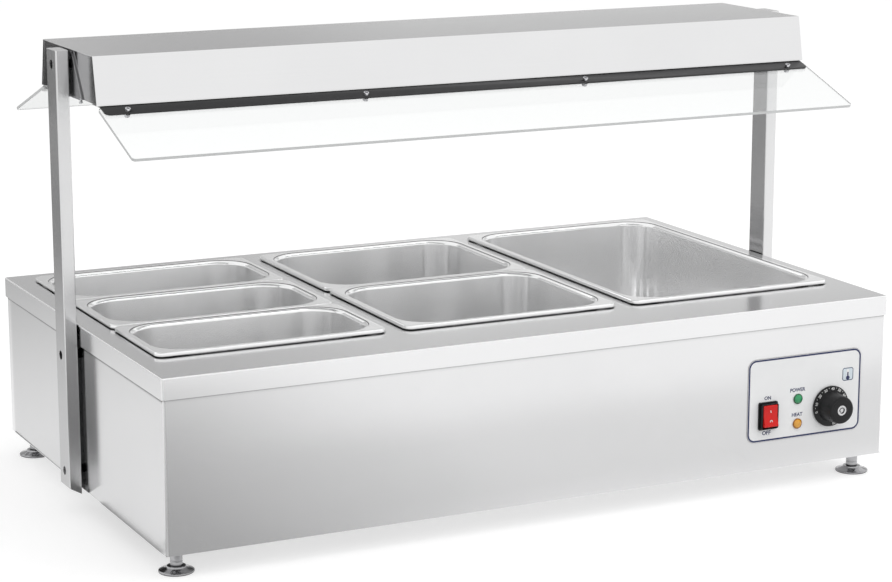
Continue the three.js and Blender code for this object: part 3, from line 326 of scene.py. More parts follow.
element_sheath = sheathed("annealed sheath", (0.34, 0.33, 0.32), (0.26, 0.24, 0.25), 0.34)
dressed("heating_element", "element_tube", element_sheath, "frame", "element_steel", angle=62)

# Behind the controls stand the thermostat's zinc body with its capillary and bulb, the
# folded splash shield, and the moulded terminal block with its two leads. One lead ends in
# the moulded gland of the back panel.

zinc = polished("zinc plating", (0.50, 0.51, 0.52), 0.36, 0.1)


def moulded(name, tone, roughness, grain=0.25, rub=0.0, rub_tone=(0.5, 0.5, 0.5)):
    """Moulded plastic: a fine spark grain, faint colour drift, and rubbed edges."""
    finish, tree, shader, place = new_finish(name)
    texture = noise(tree, place, 1400.0, 3.0, 0.6)
    drift = noise(tree, place, 45.0, 3.0)
    base = drifting(tree, spread(tree, drift, 0.3, 0.7), tone, 0.9, 1.08)
    worn = combine(tree, "MULTIPLY", rubbed_edges(tree, 0.0006), rub)
    colour = blend_colours(tree, worn, base, rub_tone)
    gloss = spread(tree, texture, 0.3, 0.7, roughness - 0.05, roughness + 0.07)
    cover(tree, shader, colour, gloss, texture, grain)
    return finish


white_moulding = moulded("white moulding", (0.78, 0.76, 0.70), 0.45)
lead_rubber = moulded("lead sheath", (0.045, 0.048, 0.052), 0.55, 0.15)
black_moulding = moulded("black moulding", (0.006, 0.006, 0.007), 0.34, 0.18,
                         rub=0.15, rub_tone=(0.10, 0.10, 0.11))
set_all_over(black_moulding, "Specular IOR Level", 0.3)
dressed("thermostat_body", "thermostat_case", zinc, "frame", "zinc", 0.0005)
dressed("thermostat_bulb", "thermostat_probe", chrome, "frame", "chrome", angle=62)
dressed("thermostat_shaft", "thermostat_spindle", zinc, "dial", "zinc")
dressed("control_shield", "splash_shield", satin_grain, "frame", "satin_steel")
dressed("terminal_block", "terminal_strip", white_moulding, "frame", "white_plastic", 0.0003)
dressed("mains_lead", "supply_lead", lead_rubber, "frame", "lead_sheath", angle=62)
dressed("element_lead", "element_wire", lead_rubber, "frame", "lead_sheath", angle=62)
dressed("cable_gland", "gland_body", black_moulding, "frame", "black_plastic", angle=30)
dressed("gland_nut", "gland_locknut", black_moulding, "frame", "black_plastic", 0.0004)

# The worktop is one brushed sheet with a folded apron all round and three openings with
# short lips. It drops over the casing, and the dark seam under its apron is painted shade.

lid_grain = brushed("worktop steel", (0.77, 0.77, 0.775), 0.16, along_x)
worktop = dressed("worktop", "worktop_sheet", lid_grain, "frame", "brushed_steel")
give_faces(worktop, painted_bend_highlight, on_bend)

# The six food pans are deep drawn from 0.8 mm stainless sheet, with tapered walls, a wide
# flat rim and its edge turned down. Each one rests loose on the edges of an opening.


def rounded_loop(work, half_x, half_y, radius, height, steps):
    """The edges of a rounded rectangle at one height, in a drawing without other faces."""
    verts = bmesh.ops.create_grid(work, x_segments=1, y_segments=1, size=1.0)["verts"]
    size = Matrix.Diagonal((half_x, half_y, 1, 1))
    bmesh.ops.transform(work, matrix=Matrix.Translation((0, 0, height)) @ size, verts=verts)
    bmesh.ops.bevel(work, geom=verts, offset=radius, offset_type="OFFSET", segments=steps,
                    profile=0.5, affect="VERTICES", clamp_overlap=False, material=-1)
    (face,) = work.faces
    edges = list(face.edges)
    bmesh.ops.delete(work, geom=[face], context="FACES_ONLY")
    return edges


def lofted(work, loops, steps=10, marked=()):
    """A skin over a stack of rounded rectangles: (half x, half y, radius, height)."""
    rows = [rounded_loop(work, *loop, steps) for loop in loops]
    for count, (low, high) in enumerate(zip(rows, rows[1:])):
        for face in bmesh.ops.bridge_loops(work, edges=low + high)["faces"]:
            face.material_index = 1 if count in marked else 0
    return rows


def drawn_steel(name, tone, roughness, edge=0.0004):
    """Drawn sheet: a satin haze, flow marks down the walls, small scuffs, and painted shade in
    the seams.
    """
    finish, tree, shader, place = new_finish(name)
    flow = noise(tree, stretched(tree, place, (380, 380, 9)), 1.0, 5.0, 0.6)
    scuffs = noise(tree, place, 55.0, 8.0, 0.75, 1.2)
    hazy = drifting(tree, spread(tree, scuffs, 0.35, 0.65), tone, 0.97, 1.03)
    worn = blend_colours(tree, rubbed_edges(tree, edge), hazy, (0.93, 0.93, 0.935))
    # Darker in narrow gaps, such as under the rim's lip: painted shade.
    colour = blend_colours(tree, seams(tree, 0.0016, 0.45, 0.80), (0.10, 0.10, 0.105), worn)
    gloss = combine(tree, "ADD",
                    spread(tree, flow, 0.3, 0.7, roughness - 0.003, roughness + 0.003),
                    spread(tree, scuffs, 0.3, 0.7, -0.003, 0.006))
    cover(tree, shader, colour, gloss, flow, 0.01, metal=0.80)
    return finish


pan_steel = drawn_steel("drawn pan steel", (0.985, 0.985, 0.99), 0.155)
# A near-black ring in the step between the rim and the soft edge: painted shade.
step_shade = drawn_steel("painted shade in the step round the rim", (0.05, 0.05, 0.052), 0.50, edge=0.0)
step_rings = (17, 18, 19)
pan_sheet = 0.0008
pan_length = 0.325
rim_top = 0.2703
rim_width = 0.0125
pan_floor = rim_top - 0.1492


def pan_loops(half_x, half_y):
    """The upper skin of a pan, from its floor up the wall, over the rim and down the lip."""
    loops = []

    def add(out, height, radius):
        loops.append((half_x + out, half_y + out, radius, height))

    draft = 0.006
    corner = 0.045
    floor_round = 0.018
    wall_foot = pan_floor + floor_round
    for step in range(7):
        angle = math.pi / 2 * step / 6
        inset = draft + floor_round * (1 - math.sin(angle))
        add(-inset, pan_floor + floor_round * (1 - math.cos(angle)), corner - inset)
    edge_round = 0.005
    edge_top = rim_top - 0.0006
    wall_height = edge_top - edge_round - wall_foot
    for share in (0.25, 0.5, 0.75):
        inset = draft * (1 - share)
        add(-inset, wall_foot + wall_height * share, corner - inset)
    for step in range(8):
        angle = math.pi / 2 * step / 7
        out = edge_round * (1 - math.cos(angle))
        add(out, edge_top - edge_round * (1 - math.sin(angle)), corner + out)
    step_corner = corner + edge_round
    add(edge_round + 0.0002, edge_top + 0.0001, step_corner)
    add(edge_round + 0.0005, rim_top - 0.0001, step_corner)
    add(edge_round + 0.0007, rim_top, step_corner)
    lip_round = 0.0020
    lip_top = rim_top - 0.0001
    lip_start = rim_width - lip_round
    lip_corner = 0.0120
    add(lip_start - 0.0005, lip_top, 0.0105)
    for step in range(1, 6):
        angle = math.pi / 2 * step / 5
        add(lip_start + lip_round * math.sin(angle),
            lip_top - lip_round * (1 - math.cos(angle)), lip_corner)
    add(rim_width, rim_top - 0.0036, lip_corner)
    add(rim_width - 0.0001, rim_top - 0.0048, lip_corner - 0.0001)
    return loops


def drawn_pan(node_name, x, y, depth):
    """One pan, centred over its place, with its wall thickness grown outwards."""
    work = bmesh.new()
    loops = pan_loops(pan_length / 2 - rim_width, depth / 2 - rim_width)
    rows = lofted(work, loops, marked=step_rings)
    bmesh.ops.contextual_create(work, geom=rows[0])
    bmesh.ops.recalc_face_normals(work, faces=work.faces)
    bottom = min(work.faces, key=lambda face: face.calc_center_median().z)
    if bottom.normal.z < 0:
        bmesh.ops.reverse_faces(work, faces=work.faces)
    bmesh.ops.translate(work, vec=(x, y, 0), verts=work.verts)
    piece = add_piece(f"{node_name}_drawing", smoothed(work, node_name, 60), pan_steel,
                      node_name, "pan_steel", node_name)
    piece.data.materials.append(step_shade)
    wall = piece.modifiers.new("wall", "SOLIDIFY")
    wall.thickness = pan_sheet
    wall.offset = -1.0
    keep_flats(piece)


for node_name, x, y, depth in (
        ("pan_third_front", -0.352, -0.138, 0.176), ("pan_third_middle", -0.352, 0.039, 0.176),
        ("pan_third_back", -0.352, 0.216, 0.176), ("pan_half_front", 0.0, -0.094, 0.265),
        ("pan_half_back", 0.0, 0.172, 0.265), ("pan_full", 0.352, 0.039, 0.530)):
    drawn_pan(node_name, x, y, depth)

# The control label is printed film glued to the front, with a navy line round it and navy
# words for the switch and the two lamps. The print is a thin layer of ink on its face.


def printed_film(name, tone, roughness):
    """Printed film: an even satin face with a faint orange-peel."""
    finish, tree, shader, place = new_finish(name)
    peel = noise(tree, place, 700.0, 2.0)
    drift = noise(tree, place, 20.0, 3.0)
    colour = drifting(tree, spread(tree, drift, 0.3, 0.7), tone, 0.97, 1.02)
    gloss = spread(tree, peel, 0.3, 0.7, roughness - 0.04, roughness + 0.05)
    cover(tree, shader, colour, gloss, peel, 0.1)
    return finish


film = printed_film("label film", (0.96, 0.965, 0.97), 0.36)
navy_ink = printed_film("navy ink", (0.012, 0.020, 0.095), 0.4)
grey_ink = printed_film("grey-blue ink", (0.09, 0.12, 0.19), 0.4)
pale_ink = printed_film("pale blue ink", (0.76, 0.84, 0.90), 0.4)
label_face = -0.3268
ink = 0.00008
dressed("control_label", "label_film", film, "frame", "label_film", angle=30)
to_front = Matrix.Rotation(math.pi / 2, 4, "X")


def verts_of(geom):
    """The points among the parts that a step has made."""
    return [part for part in geom if isinstance(part, bmesh.types.BMVert)]


def patch(half_x, half_y, radius, steps):
    """A flat drawing of a rounded rectangle."""
    work = bmesh.new()
    edges = rounded_loop(work, half_x, half_y, radius, 0, steps)
    bmesh.ops.contextual_create(work, geom=edges)
    return work


def outlined(half_x, half_y, radius, line, steps):
    """A flat drawing of a line that runs inside the edge of a rounded rectangle."""
    work = bmesh.new()
    lofted(work, [(half_x, half_y, radius, 0),
                  (half_x - line, half_y - line, radius - line, 0)], steps)
    return work


def face_print(name, work, x, z, finish, lift=0.0):
    """A flat drawing given the thickness of ink and stood up on the label's face."""
    faces = list(work.faces)
    bmesh.ops.recalc_face_normals(work, faces=faces)
    if faces[0].normal.z < 0:
        bmesh.ops.reverse_faces(work, faces=faces)
    grown = bmesh.ops.extrude_face_region(work, geom=faces)["geom"]
    bmesh.ops.translate(work, vec=(0, 0, ink), verts=verts_of(grown))
    bmesh.ops.delete(work, geom=[face for face in faces if face.is_valid], context="FACES_ONLY")
    bmesh.ops.holes_fill(work, edges=work.edges)
    bmesh.ops.recalc_face_normals(work, faces=work.faces)
    bmesh.ops.transform(work, matrix=Matrix.Translation((x, label_face - lift, z)) @ to_front,
                        verts=work.verts)
    add_piece(name, smoothed(work, name, 30), finish, "frame", "label_film")


def drawn_words(name, words, height, depth, weight):
    """Words drawn flat with a little depth, centred on the origin, facing up."""
    capital_share = 0.72
    curve = bpy.data.curves.new(name, "FONT")
    curve.body = words
    curve.size = height / capital_share
    curve.align_x = "CENTER"
    curve.align_y = "CENTER"
    curve.extrude = depth / 2
    curve.offset = weight
    curve.resolution_u = 4
    draft = bpy.data.objects.new(name, curve)
    bpy.context.collection.objects.link(draft)
    bpy.context.view_layer.update()
    mesh = bpy.data.meshes.new_from_object(
        draft.evaluated_get(bpy.context.evaluated_depsgraph_get()))
    bpy.data.objects.remove(draft)
    work = bmesh.new()
    work.from_mesh(mesh)
    bmesh.ops.remove_doubles(work, verts=work.verts, dist=1e-7)
    middle_x, middle_y = (
        (min(v.co[axis] for v in work.verts) + max(v.co[axis] for v in work.verts)) / 2
        for axis in (0, 1))
    bmesh.ops.translate(work, vec=(-middle_x, -middle_y, depth / 2), verts=work.verts)
    return work


def word_print(name, words, height, x, z):
    """Navy capitals on the label's face."""
    work = drawn_words(name, words, height, ink, 0.0002)
    bmesh.ops.transform(work, matrix=Matrix.Translation((x, label_face, z)) @ to_front,
                        verts=work.verts)
    add_piece(name, smoothed(work, name, 30), navy_ink, "frame", "label_film")


face_print("label_line", outlined(0.0938, 0.0591, 0.0120, 0.0024, 12), 0.41025, 0.1330, navy_ink)
word_print("word_on", "ON", 0.0050, 0.3485, 0.1362)
word_print("word_off", "OFF", 0.0058, 0.3478, 0.0858)
word_print("word_power", "POWER", 0.0052, 0.3985, 0.1425)
word_print("word_heat", "HEAT", 0.0052, 0.3985, 0.1065)
symbol_x = 0.4827
symbol_z = 0.1560
face_print("symbol_line", outlined(0.0093, 0.0094, 0.0036, 0.0012, 12), symbol_x, symbol_z,
           grey_ink)
for name, half_x, half_z, radius, rise, finish, layer in (
        ("symbol_ground", 0.0080, 0.0081, 0.0024, 0.0, pale_ink, 0),
        ("symbol_glass", 0.0021, 0.0068, 0.0020, 0.0005, film, 1),
        ("symbol_column", 0.0011, 0.0046, 0.0010, -0.0015, navy_ink, 2),
        ("symbol_bulb", 0.0030, 0.0030, 0.00299, -0.0053, navy_ink, 3)):
    face_print(name, patch(half_x, half_z, radius, 8), symbol_x, symbol_z + rise, finish,
               layer * ink)

# The rocker switch snaps into the panel: a moulded black housing with a square collar, and
# a glossy red rocker on two pins, marked with a bar and a ring.

switch_x = 0.3485
switch_z = 0.111
switch_face = -0.3271
dressed("switch_housing", "switch_frame", black_moulding, "frame", "black_plastic", 0.0004)


def tinted(name, tone, deep, roughness, coat):
    """Glossy coloured plastic: uneven depth of colour, deeper along the edges."""
    finish, tree, shader, place = new_finish(name)
    drift = noise(tree, place, 160.0, 3.0)
    body = drifting(tree, spread(tree, drift, 0.3, 0.7), tone, 0.92, 1.06)
    rim = spread(tree, rubbed_edges(tree, 0.0016), 0.0, 1.0, 0.0, 0.8)
    colour = blend_colours(tree, rim, body, deep)
    gloss = spread(tree, drift, 0.3, 0.7, roughness - 0.03, roughness + 0.05)
    cover(tree, shader, colour, gloss, drift, 0.05, 0.0002)
    set_all_over(finish, "Coat Weight", coat)
    set_all_over(finish, "Coat Roughness", 0.08)
    return finish


red_key = tinted("red rocker", (0.70, 0.006, 0.004), (0.26, 0.002, 0.002), 0.22, 0.15)
set_all_over(red_key, "Specular IOR Level", 0.3)
white_fill = moulded("white paint fill", (0.80, 0.80, 0.79), 0.4)
dressed("switch_rocker", "switch_key", red_key, "rocker", "red_plastic", 0.0009, 3)
key_ridge = 0.0085
key_lean = math.atan2(2, 14)
key_rest = Matrix.Rotation(math.radians(-7), 4, "X")


def key_mark(name, work, height, sign):
    """A raised mark on one half of the rocker's face."""
    face = Matrix.Translation((0, -key_ridge - abs(height) * math.tan(key_lean), height))
    stood = Matrix.Rotation(math.pi / 2 - sign * key_lean, 4, "X")
    at_pivot = Matrix.Translation((switch_x, switch_face, switch_z))
    bmesh.ops.transform(work, matrix=at_pivot @ key_rest @ face @ stood, verts=work.verts)
    add_piece(name, smoothed(work, name, 30), white_fill, "rocker", "white_plastic")


def raised(work, depth):
    """A flat drawing given its depth, from just under the face to just above it."""
    bmesh.ops.recalc_face_normals(work, faces=work.faces)
    bmesh.ops.solidify(work, geom=list(work.faces), thickness=depth)
    bmesh.ops.recalc_face_normals(work, faces=work.faces)
    low = min(v.co.z for v in work.verts)
    bmesh.ops.translate(work, vec=(0, 0, -low - depth / 2), verts=work.verts)
    return work


mark_depth = 0.0003
key_mark("switch_mark_on", raised(patch(0.0006, 0.0026, 0.0003, 3), mark_depth), 0.0075, 1)
ring = outlined(0.0023, 0.0026, 0.00229, 0.0011, 8)
key_mark("switch_mark_off", raised(ring, mark_depth), -0.0080, -1)

# Each pilot lamp is a ribbed dome of tinted plastic in a thin dark rim, pushed into the
# panel from the front.

outwards = (0, -1, 0)
dome_radius = 6.0
dome_rise = 1.9
rib_height = 0.10
for lamp, height, slot, tone, deep in (
        ("lamp_power", 0.1293, "green_lens", (0.010, 0.330, 0.110), (0.004, 0.120, 0.040)),
        ("lamp_heat", 0.0934, "amber_lens", (0.860, 0.400, 0.030), (0.420, 0.150, 0.008))):
    lens = tinted(f"{slot} plastic", tone, deep, 0.16, 0.6)
    dark_rim = tinted(f"{slot} rim plastic", deep, [part * 0.4 for part in deep], 0.25, 0.3)
    dome = [(0, -16), (5.2, -16), (5.5, -15.6), (5.5, 0.3), (6.2, 0.3), (6.2, 1.2)]
    for step in range(9):
        angle = math.pi / 2 * step / 9
        ripple = rib_height * (step % 2)
        dome.append(((dome_radius - ripple) * math.cos(angle),
                     1.3 + (dome_rise - ripple) * math.sin(angle)))
    dome.append((0, 1.3 + dome_rise - rib_height))
    centre = (0.3988, switch_face, height)
    turned(f"{lamp}_dome", dome, 40, centre, lens, "frame", slot, lamp, angle=40, onto=outwards)
    collar = [(6.3, 0.05), (7.2, 0.05), (7.5, 0.35), (7.5, 0.9), (7.1, 1.3), (6.6, 1.4),
              (6.3, 1.1), (6.3, 0.05)]
    turned(f"{lamp}_rim", collar, 40, centre, dark_rim, "frame", slot, angle=40, onto=outwards)

# The dial is moulded in black: a thin skirt with white numbers and dots, and a tapered hub
# with turned rings on its front. A chromed cap is pressed into the hub.

dial_x = 0.4533
dial_z = 0.113
dial_centre = (dial_x, label_face, dial_z)
black_dial = moulded("dial moulding", (0.006, 0.006, 0.007), 0.30, 0.12,
                     rub=0.15, rub_tone=(0.14, 0.14, 0.15))
set_all_over(black_dial, "Specular IOR Level", 0.3)
# radii, and distances from the label's face, in millimetres
hub = [(0, 1.2), (28.9, 1.2), (29.4, 1.5), (29.5, 2.0), (29.5, 3.2), (29.1, 3.9), (28.4, 4.2),
       (22.8, 4.2), (22.1, 4.5), (21.6, 5.2), (20.6, 17), (19.6, 29.0)]
for step in range(1, 6):
    angle = math.pi / 2 * step / 5
    hub.append((19.5 - 1.9 * (1 - math.cos(angle)), 29.1 + 1.6 * math.sin(angle)))
hub += [(16.9, 30.75), (16.6, 30.55), (16.3, 30.75)]
for radius in (15.2, 14.1, 13.0, 11.9, 10.8, 9.7):
    rise = (16 - radius) * 0.03
    hub += [(radius, 30.95 + rise), (radius - 0.3, 30.86 + rise), (radius - 0.6, 30.97 + rise)]
hub += [(8.4, 31.2), (7.9, 30.9), (7.8, 28.8), (0, 28.8)]
turned("dial_knob", hub, 72, dial_centre, black_dial, "dial", "black_plastic", "knob",
       onto=outwards)
cap = [(0, 28.2), (7.3, 28.2), (7.5, 28.5), (7.5, 30.6), (7.2, 31.0), (6.6, 31.15), (5.2, 31.15),
       (4.7, 30.9), (4.5, 30.2), (4.4, 28.9), (2.9, 28.8), (2.7, 30.2), (2.3, 30.6), (1.4, 30.7),
       (0, 30.7)]
cap_chrome = polished("cap plating", (0.64, 0.64, 0.65), 0.14)
turned("dial_cap", cap, 48, dial_centre, cap_chrome, "dial", "chrome", "knob_cap",
       angle=40, onto=outwards)


def on_dial(work, radius, degrees, height):
    """A drawing turned to its place on the front of the dial, its top outwards."""
    turn = Matrix.Rotation(math.radians(90 - degrees), 4, "Y")
    place = Matrix.Translation((dial_x, label_face - height, dial_z))
    out = Matrix.Translation((0, 0, radius))
    bmesh.ops.transform(work, matrix=place @ turn @ out @ to_front, verts=work.verts)


def join_into(whole, part):
    """Adds one drawing to another, and lets it go."""
    mesh = bpy.data.meshes.new("part")
    part.to_mesh(mesh)
    part.free()
    whole.from_mesh(mesh)
    bpy.data.meshes.remove(mesh)


skirt_front = 0.0042
paint = 0.0001
first_figure = 194  # degrees, counted against the clock from the right
between_figures = 27
figures = bmesh.new()
for count in range(11):
    number = drawn_words("figure", str(count * 10), 0.0040, paint, 0.0001)
    on_dial(number, 0.0256, first_figure - between_figures * count, skirt_front)
    join_into(figures, number)
    if count < 10:
        dot = bmesh.new()
        bmesh.ops.create_circle(dot, cap_ends=True, segments=12, radius=0.0006)
        raised(dot, paint)
        on_dial(dot, 0.0270, first_figure - between_figures * (count + 0.5), skirt_front)
        join_into(figures, dot)
add_piece("dial_numbers", smoothed(figures, "dial_numbers", 30), white_fill, "dial",
          "white_plastic")
index = raised(patch(0.0005, 0.0016, 0.0002, 2), 0.0002)
on_dial(index, 0.0187, 0, 0.0300)
add_piece("dial_index", smoothed(index, "dial_index", 30), white_fill, "dial", "white_plastic")

# The two posts are 18 x 40 mm stainless tube, brushed along their length, closed at the
# top and cut obliquely at the foot. Bolts inside them hold the body and the canopy.


def parts_of(tree, vector):
    """The X, Y and Z of a vector."""
    return node(tree, "ShaderNodeSeparateXYZ", {"Vector": vector}).outputs


along_z = (1300, 1300, 3)
post_steel = brushed("post steel", (0.74, 0.74, 0.745), 0.20, along_z)
set_all_over(post_steel, "Metallic", 0.78)
# The wide faces take a darker copy of the post steel: painted shade.
post_sides_painted_darker = brushed("post steel, wide sides", (0.52, 0.52, 0.525), 0.22, along_z)
tree = post_sides_painted_darker.node_tree
where = parts_of(tree, node(tree, "ShaderNodeTexCoord").outputs["Object"])
facing = parts_of(tree, node(tree, "ShaderNodeNewGeometry").outputs["Normal"])
# Below the worktop, the faces towards the body go nearly black: painted shade.
outward = combine(tree, "MULTIPLY", where["X"], facing["X"])
beside_body = combine(tree, "MULTIPLY", spread(tree, outward, -0.5, -0.3, 1.0, 0.0),
                      spread(tree, where["Z"], 0.258, 0.262, 1.0, 0.0))
post_colour = tree.nodes["Principled BSDF"].inputs["Base Color"]
shaded_inside = blend_colours(tree, beside_body, post_colour.links[0].from_socket,
                              (0.07, 0.07, 0.075))
tree.links.new(shaded_inside, post_colour)
for side in ("left", "right"):
    post = dressed(f"post_{side}", f"post_tube_{side}", post_steel, "frame", "brushed_steel")
    give_faces(post, post_sides_painted_darker, lambda normal: abs(normal.x) > 0.9)

post_y = 0.019
# distances from the middle of the bain marie, and radii, in millimetres
tube_outside = 547.5
tube_inside = 549.3
play = 0.3
nut_height = 4
for side, sign in (("left", -1), ("right", 1)):
    for level, height, plate_face, plate in (
            ("low", 0.058, 544.0, 1.2), ("mid", 0.2206, 544.0, 1.2), ("top", 0.6170, 544.6, 3.5)):
        seat = plate_face + play
        nut = plate_face - plate - play - nut_height
        work = bmesh.new()
        spin_closed(work, [
            (0, nut - 2), (2.2, nut - 2), *thread(2.5, 0.25, nut - 1.6, nut + 4.4, 0.8),
            (2.5, tube_inside + 0.3), (4.1, tube_inside + 0.3), (4.5, tube_inside + 0.7),
            (4.5, tube_inside + 3.2), (4.1, tube_inside + 3.8), (2.3, tube_inside + 3.8),
            (2.0, tube_inside + 1.9), (0, tube_inside + 1.9)], 24)
        bare = set(work.faces)
        spin_closed(work, [
            (2.6, seat), (5.9, seat), (6.0, seat + 0.2), (6.0, tube_outside - 0.2),
            (5.9, tube_outside), (2.6, tube_outside), (2.6, seat)], 32)
        for face in work.faces:
            face.material_index = 0 if face in bare else 1
        spin_closed(work, [
            (2.55, nut), (4.3, nut), (4.5, nut + 0.4), (4.5, nut + 3.6), (4.3, nut + nut_height),
            (2.55, nut + nut_height), (2.55, nut)], 6)
        bmesh.ops.transform(work, matrix=laid((0, post_y, height), (sign, 0, 0)),
                            verts=work.verts)
        bolt = add_piece(f"post_bolt_{level}_{side}", smoothed(work, "post_bolt", 35), zinc,
                         "frame", "zinc", f"fixing_{level}_{side}")
        bolt.data.materials.append(black_moulding)

# The canopy is one long sheet folded into a shallow hood with a return under each edge.
# Its ends are closed by folded plates, and a flat plate at each end carries it on the posts.

canopy_grain = brushed("canopy steel", (0.82, 0.82, 0.825), 0.15, along_x)
dressed("canopy_shell", "canopy_hood", canopy_grain, "frame", "brushed_steel", 0.0005, 3)
along_y = (900, 3, 900)
end_grain = brushed("end plate steel", (0.40, 0.40, 0.405), 0.12, along_y)
# The bracket steel also darkens in its narrow gaps: painted shade.
plate_grain = brushed("bracket steel", (0.25, 0.25, 0.255), 0.24, along_y, dust_and_seam_shade=(0.002, 0.3, 0.8))
pin_outline = [(0, 4.5), (1.5, 4.5), (1.5, 0.2), (2.1, 0.1), (2.6, -0.6), (2.6, -1.8),
               (2.2, -2.4), (0, -2.6)]
for side, sign in (("left", -1), ("right", 1)):
    dressed(f"canopy_end_{side}", f"canopy_cheek_{side}", end_grain, "frame", "satin_steel")
    dressed(f"canopy_bracket_{side}", f"canopy_carrier_{side}", plate_grain, "frame",
            "satin_steel")
    for depth, y in (("front", -0.035), ("back", 0.073)):
        turned(f"carrier_pin_{depth}_{side}", pin_outline, 20, (sign * 0.5436, y, 0.5727), zinc,
               "frame", "zinc")

# Under each long edge of the canopy runs a black painted rail, bent to the slope of the
# guard. Four bolts with nuts clamp a pane of toughened glass to it.


def painted(name, tone, roughness):
    """Stove enamel: a fine orange-peel, dust, and metal showing on rubbed edges."""
    finish, tree, shader, place = new_finish(name)
    peel = noise(tree, place, 500.0, 2.0)
    dust_and_seam_shade = noise(tree, place, 60.0, 6.0)
    base = blend_colours(tree, spread(tree, dust_and_seam_shade, 0.4, 0.7), tone, [part * 1.6 for part in tone])
    worn = spread(tree, rubbed_edges(tree, 0.0004), 0.0, 1.0, 0.0, 0.3)
    colour = blend_colours(tree, worn, base, (0.22, 0.22, 0.23))
    gloss = spread(tree, dust_and_seam_shade, 0.3, 0.7, roughness, roughness + 0.12)
    cover(tree, shader, colour, gloss, peel, 0.15)
    return finish


def rounded_off(work, parts, affect, offset, segments):
    """Rounds some corners or edges of a drawing."""
    bmesh.ops.bevel(work, geom=parts, offset=offset, offset_type="OFFSET", segments=segments,
                    profile=0.5, affect=affect, clamp_overlap=True, material=-1)


black_enamel = painted("black enamel", (0.012, 0.012, 0.013), 0.30)
bright_zinc = polished("bright screws", (0.68, 0.68, 0.70), 0.20, corner=0.0015)
slope = math.radians(19.5)
fold_y = -0.1185
fold_z = 0.5737
rail_length = 1.078
flat_leg = 0.014
sloped_leg = 0.023
rail_sheet = 0.0015
screw_places = (-0.507, -0.169, 0.169, 0.507)
screw_down = 0.016
on_slope = Matrix.Translation((0, fold_y, fold_z)) @ Matrix.Rotation(slope, 4, "X")
at_front = Matrix.Translation((0, post_y, 0))
at_back = at_front @ Matrix.Rotation(math.pi, 4, "Z")
# outlines of the screw's cap, shank, washer and nut, in millimetres from the rail's upper face
cap_head = [(0, 2.2), (1.9, 2.2), (2.2, 4.2), (3.4, 4.2), (3.7, 3.9), (3.7, 0.3), (3.4, 0.05),
            (0, 0.05)]
screw_shank = [(0, -0.4), (2.5, -0.4),
               *((radius, -height) for radius, height in thread(2.5, 0.3, 0.8, 12.0, 0.8)),
               (0, -12.2)]
washer = [(2.6, -6.15), (4.4, -6.15), (4.4, -6.9), (2.6, -6.9), (2.6, -6.15)]
locknut = [(2.55, -6.95), (3.9, -6.95), (4.2, -7.3), (4.2, -9.6), (3.9, -10.0), (3.3, -10.9),
           (2.55, -10.9), (2.55, -6.95)]
for depth, placed in (("front", at_front), ("back", at_back)):
    work = bmesh.new()
    route = [(fold_y + flat_leg, fold_z), (fold_y, fold_z),
             (fold_y - sloped_leg * math.cos(slope), fold_z - sloped_leg * math.sin(slope))]
    edges = chain(work, [(-rail_length / 2, y, z) for y, z in route])[1]
    grown = bmesh.ops.extrude_edge_only(work, edges=edges)["geom"]
    bmesh.ops.translate(work, vec=(rail_length, 0, 0), verts=verts_of(grown))
    corners = [v for v in work.verts if v.co.z < fold_z - 0.001]
    rounded_off(work, corners, "VERTICES", 0.008, 8)
    bends = [edge for edge in work.edges if len(edge.link_faces) == 2]
    rounded_off(work, bends, "EDGES", 0.0016, 4)
    bmesh.ops.recalc_face_normals(work, faces=work.faces)
    if sum(face.normal.z * face.calc_area() for face in work.faces) < 0:
        bmesh.ops.reverse_faces(work, faces=work.faces)
    bmesh.ops.transform(work, matrix=placed, verts=work.verts)
    strip = add_piece(f"guard_rail_{depth}", smoothed(work, "guard_rail", 30), black_enamel,
                      "frame", "black_paint", f"glass_rail_{depth}")
    gauge = strip.modifiers.new("gauge", "SOLIDIFY")
    gauge.thickness = rail_sheet
    gauge.offset = -1.0
    screws = bmesh.new()
    for x in screw_places:
        screw = bmesh.new()
        for outline, steps in ((cap_head, 24), (screw_shank, 20), (washer, 28), (locknut, 6)):
            spin_closed(screw, outline, steps)
        bmesh.ops.translate(screw, vec=(x, -screw_down, 0), verts=screw.verts)
        join_into(screws, screw)
    bmesh.ops.transform(screws, matrix=placed @ on_slope, verts=screws.verts)
    add_piece(f"guard_screws_{depth}", smoothed(screws, "guard_screws", 35), bright_zinc,
              "frame", "zinc")

# Each glass guard is 4 mm toughened glass with rounded corners and ground edges, drilled
# for the four bolts of its rail.

glass, tree, shader, place = new_finish("clear glass")
smears = noise(tree, place, 14.0, 6.0, 0.6)
tree.links.new(spread(tree, smears, 0.4, 0.7, 0.0, 0.03), shader.inputs["Roughness"])
for key, value in (("Base Color", (0.935, 0.945, 0.942, 1)), ("Transmission Weight", 1.0),
                   ("IOR", 1.5)):
    set_all_over(glass, key, value)
ground, tree, shader, place = new_finish("ground glass edge")
marks = noise(tree, place, 900.0, 4.0, 0.7)
milky = blend_colours(tree, spread(tree, marks, 0.3, 0.7), (0.72, 0.73, 0.73), (0.80, 0.81, 0.81))
tree.links.new(milky, shader.inputs["Base Color"])
tree.links.new(spread(tree, marks, 0.3, 0.7, 0.35, 0.55), shader.inputs["Roughness"])
for depth in ("front", "back"):
    pane = dressed(f"glass_{depth}", f"guard_pane_{depth}", glass, "frame", "guard_glass", 0.0005)
    broad = max(pane.data.polygons, key=lambda face: face.area).normal.copy()
    give_faces(pane, ground, lambda normal: abs(normal.dot(broad)) < 0.5)

# The set is a plain white floor in a soft white surround, with large soft lamps and with
# grey cards that show in the steel alone. It isn't part of the bain marie.


def set_finish(name):
    """A material for the set, with its node tree and no shader yet."""
    finish = bpy.data.materials.new(name)
    finish.use_nodes = True
    finish.node_tree.nodes.remove(finish.node_tree.nodes["Principled BSDF"])
    return finish, finish.node_tree


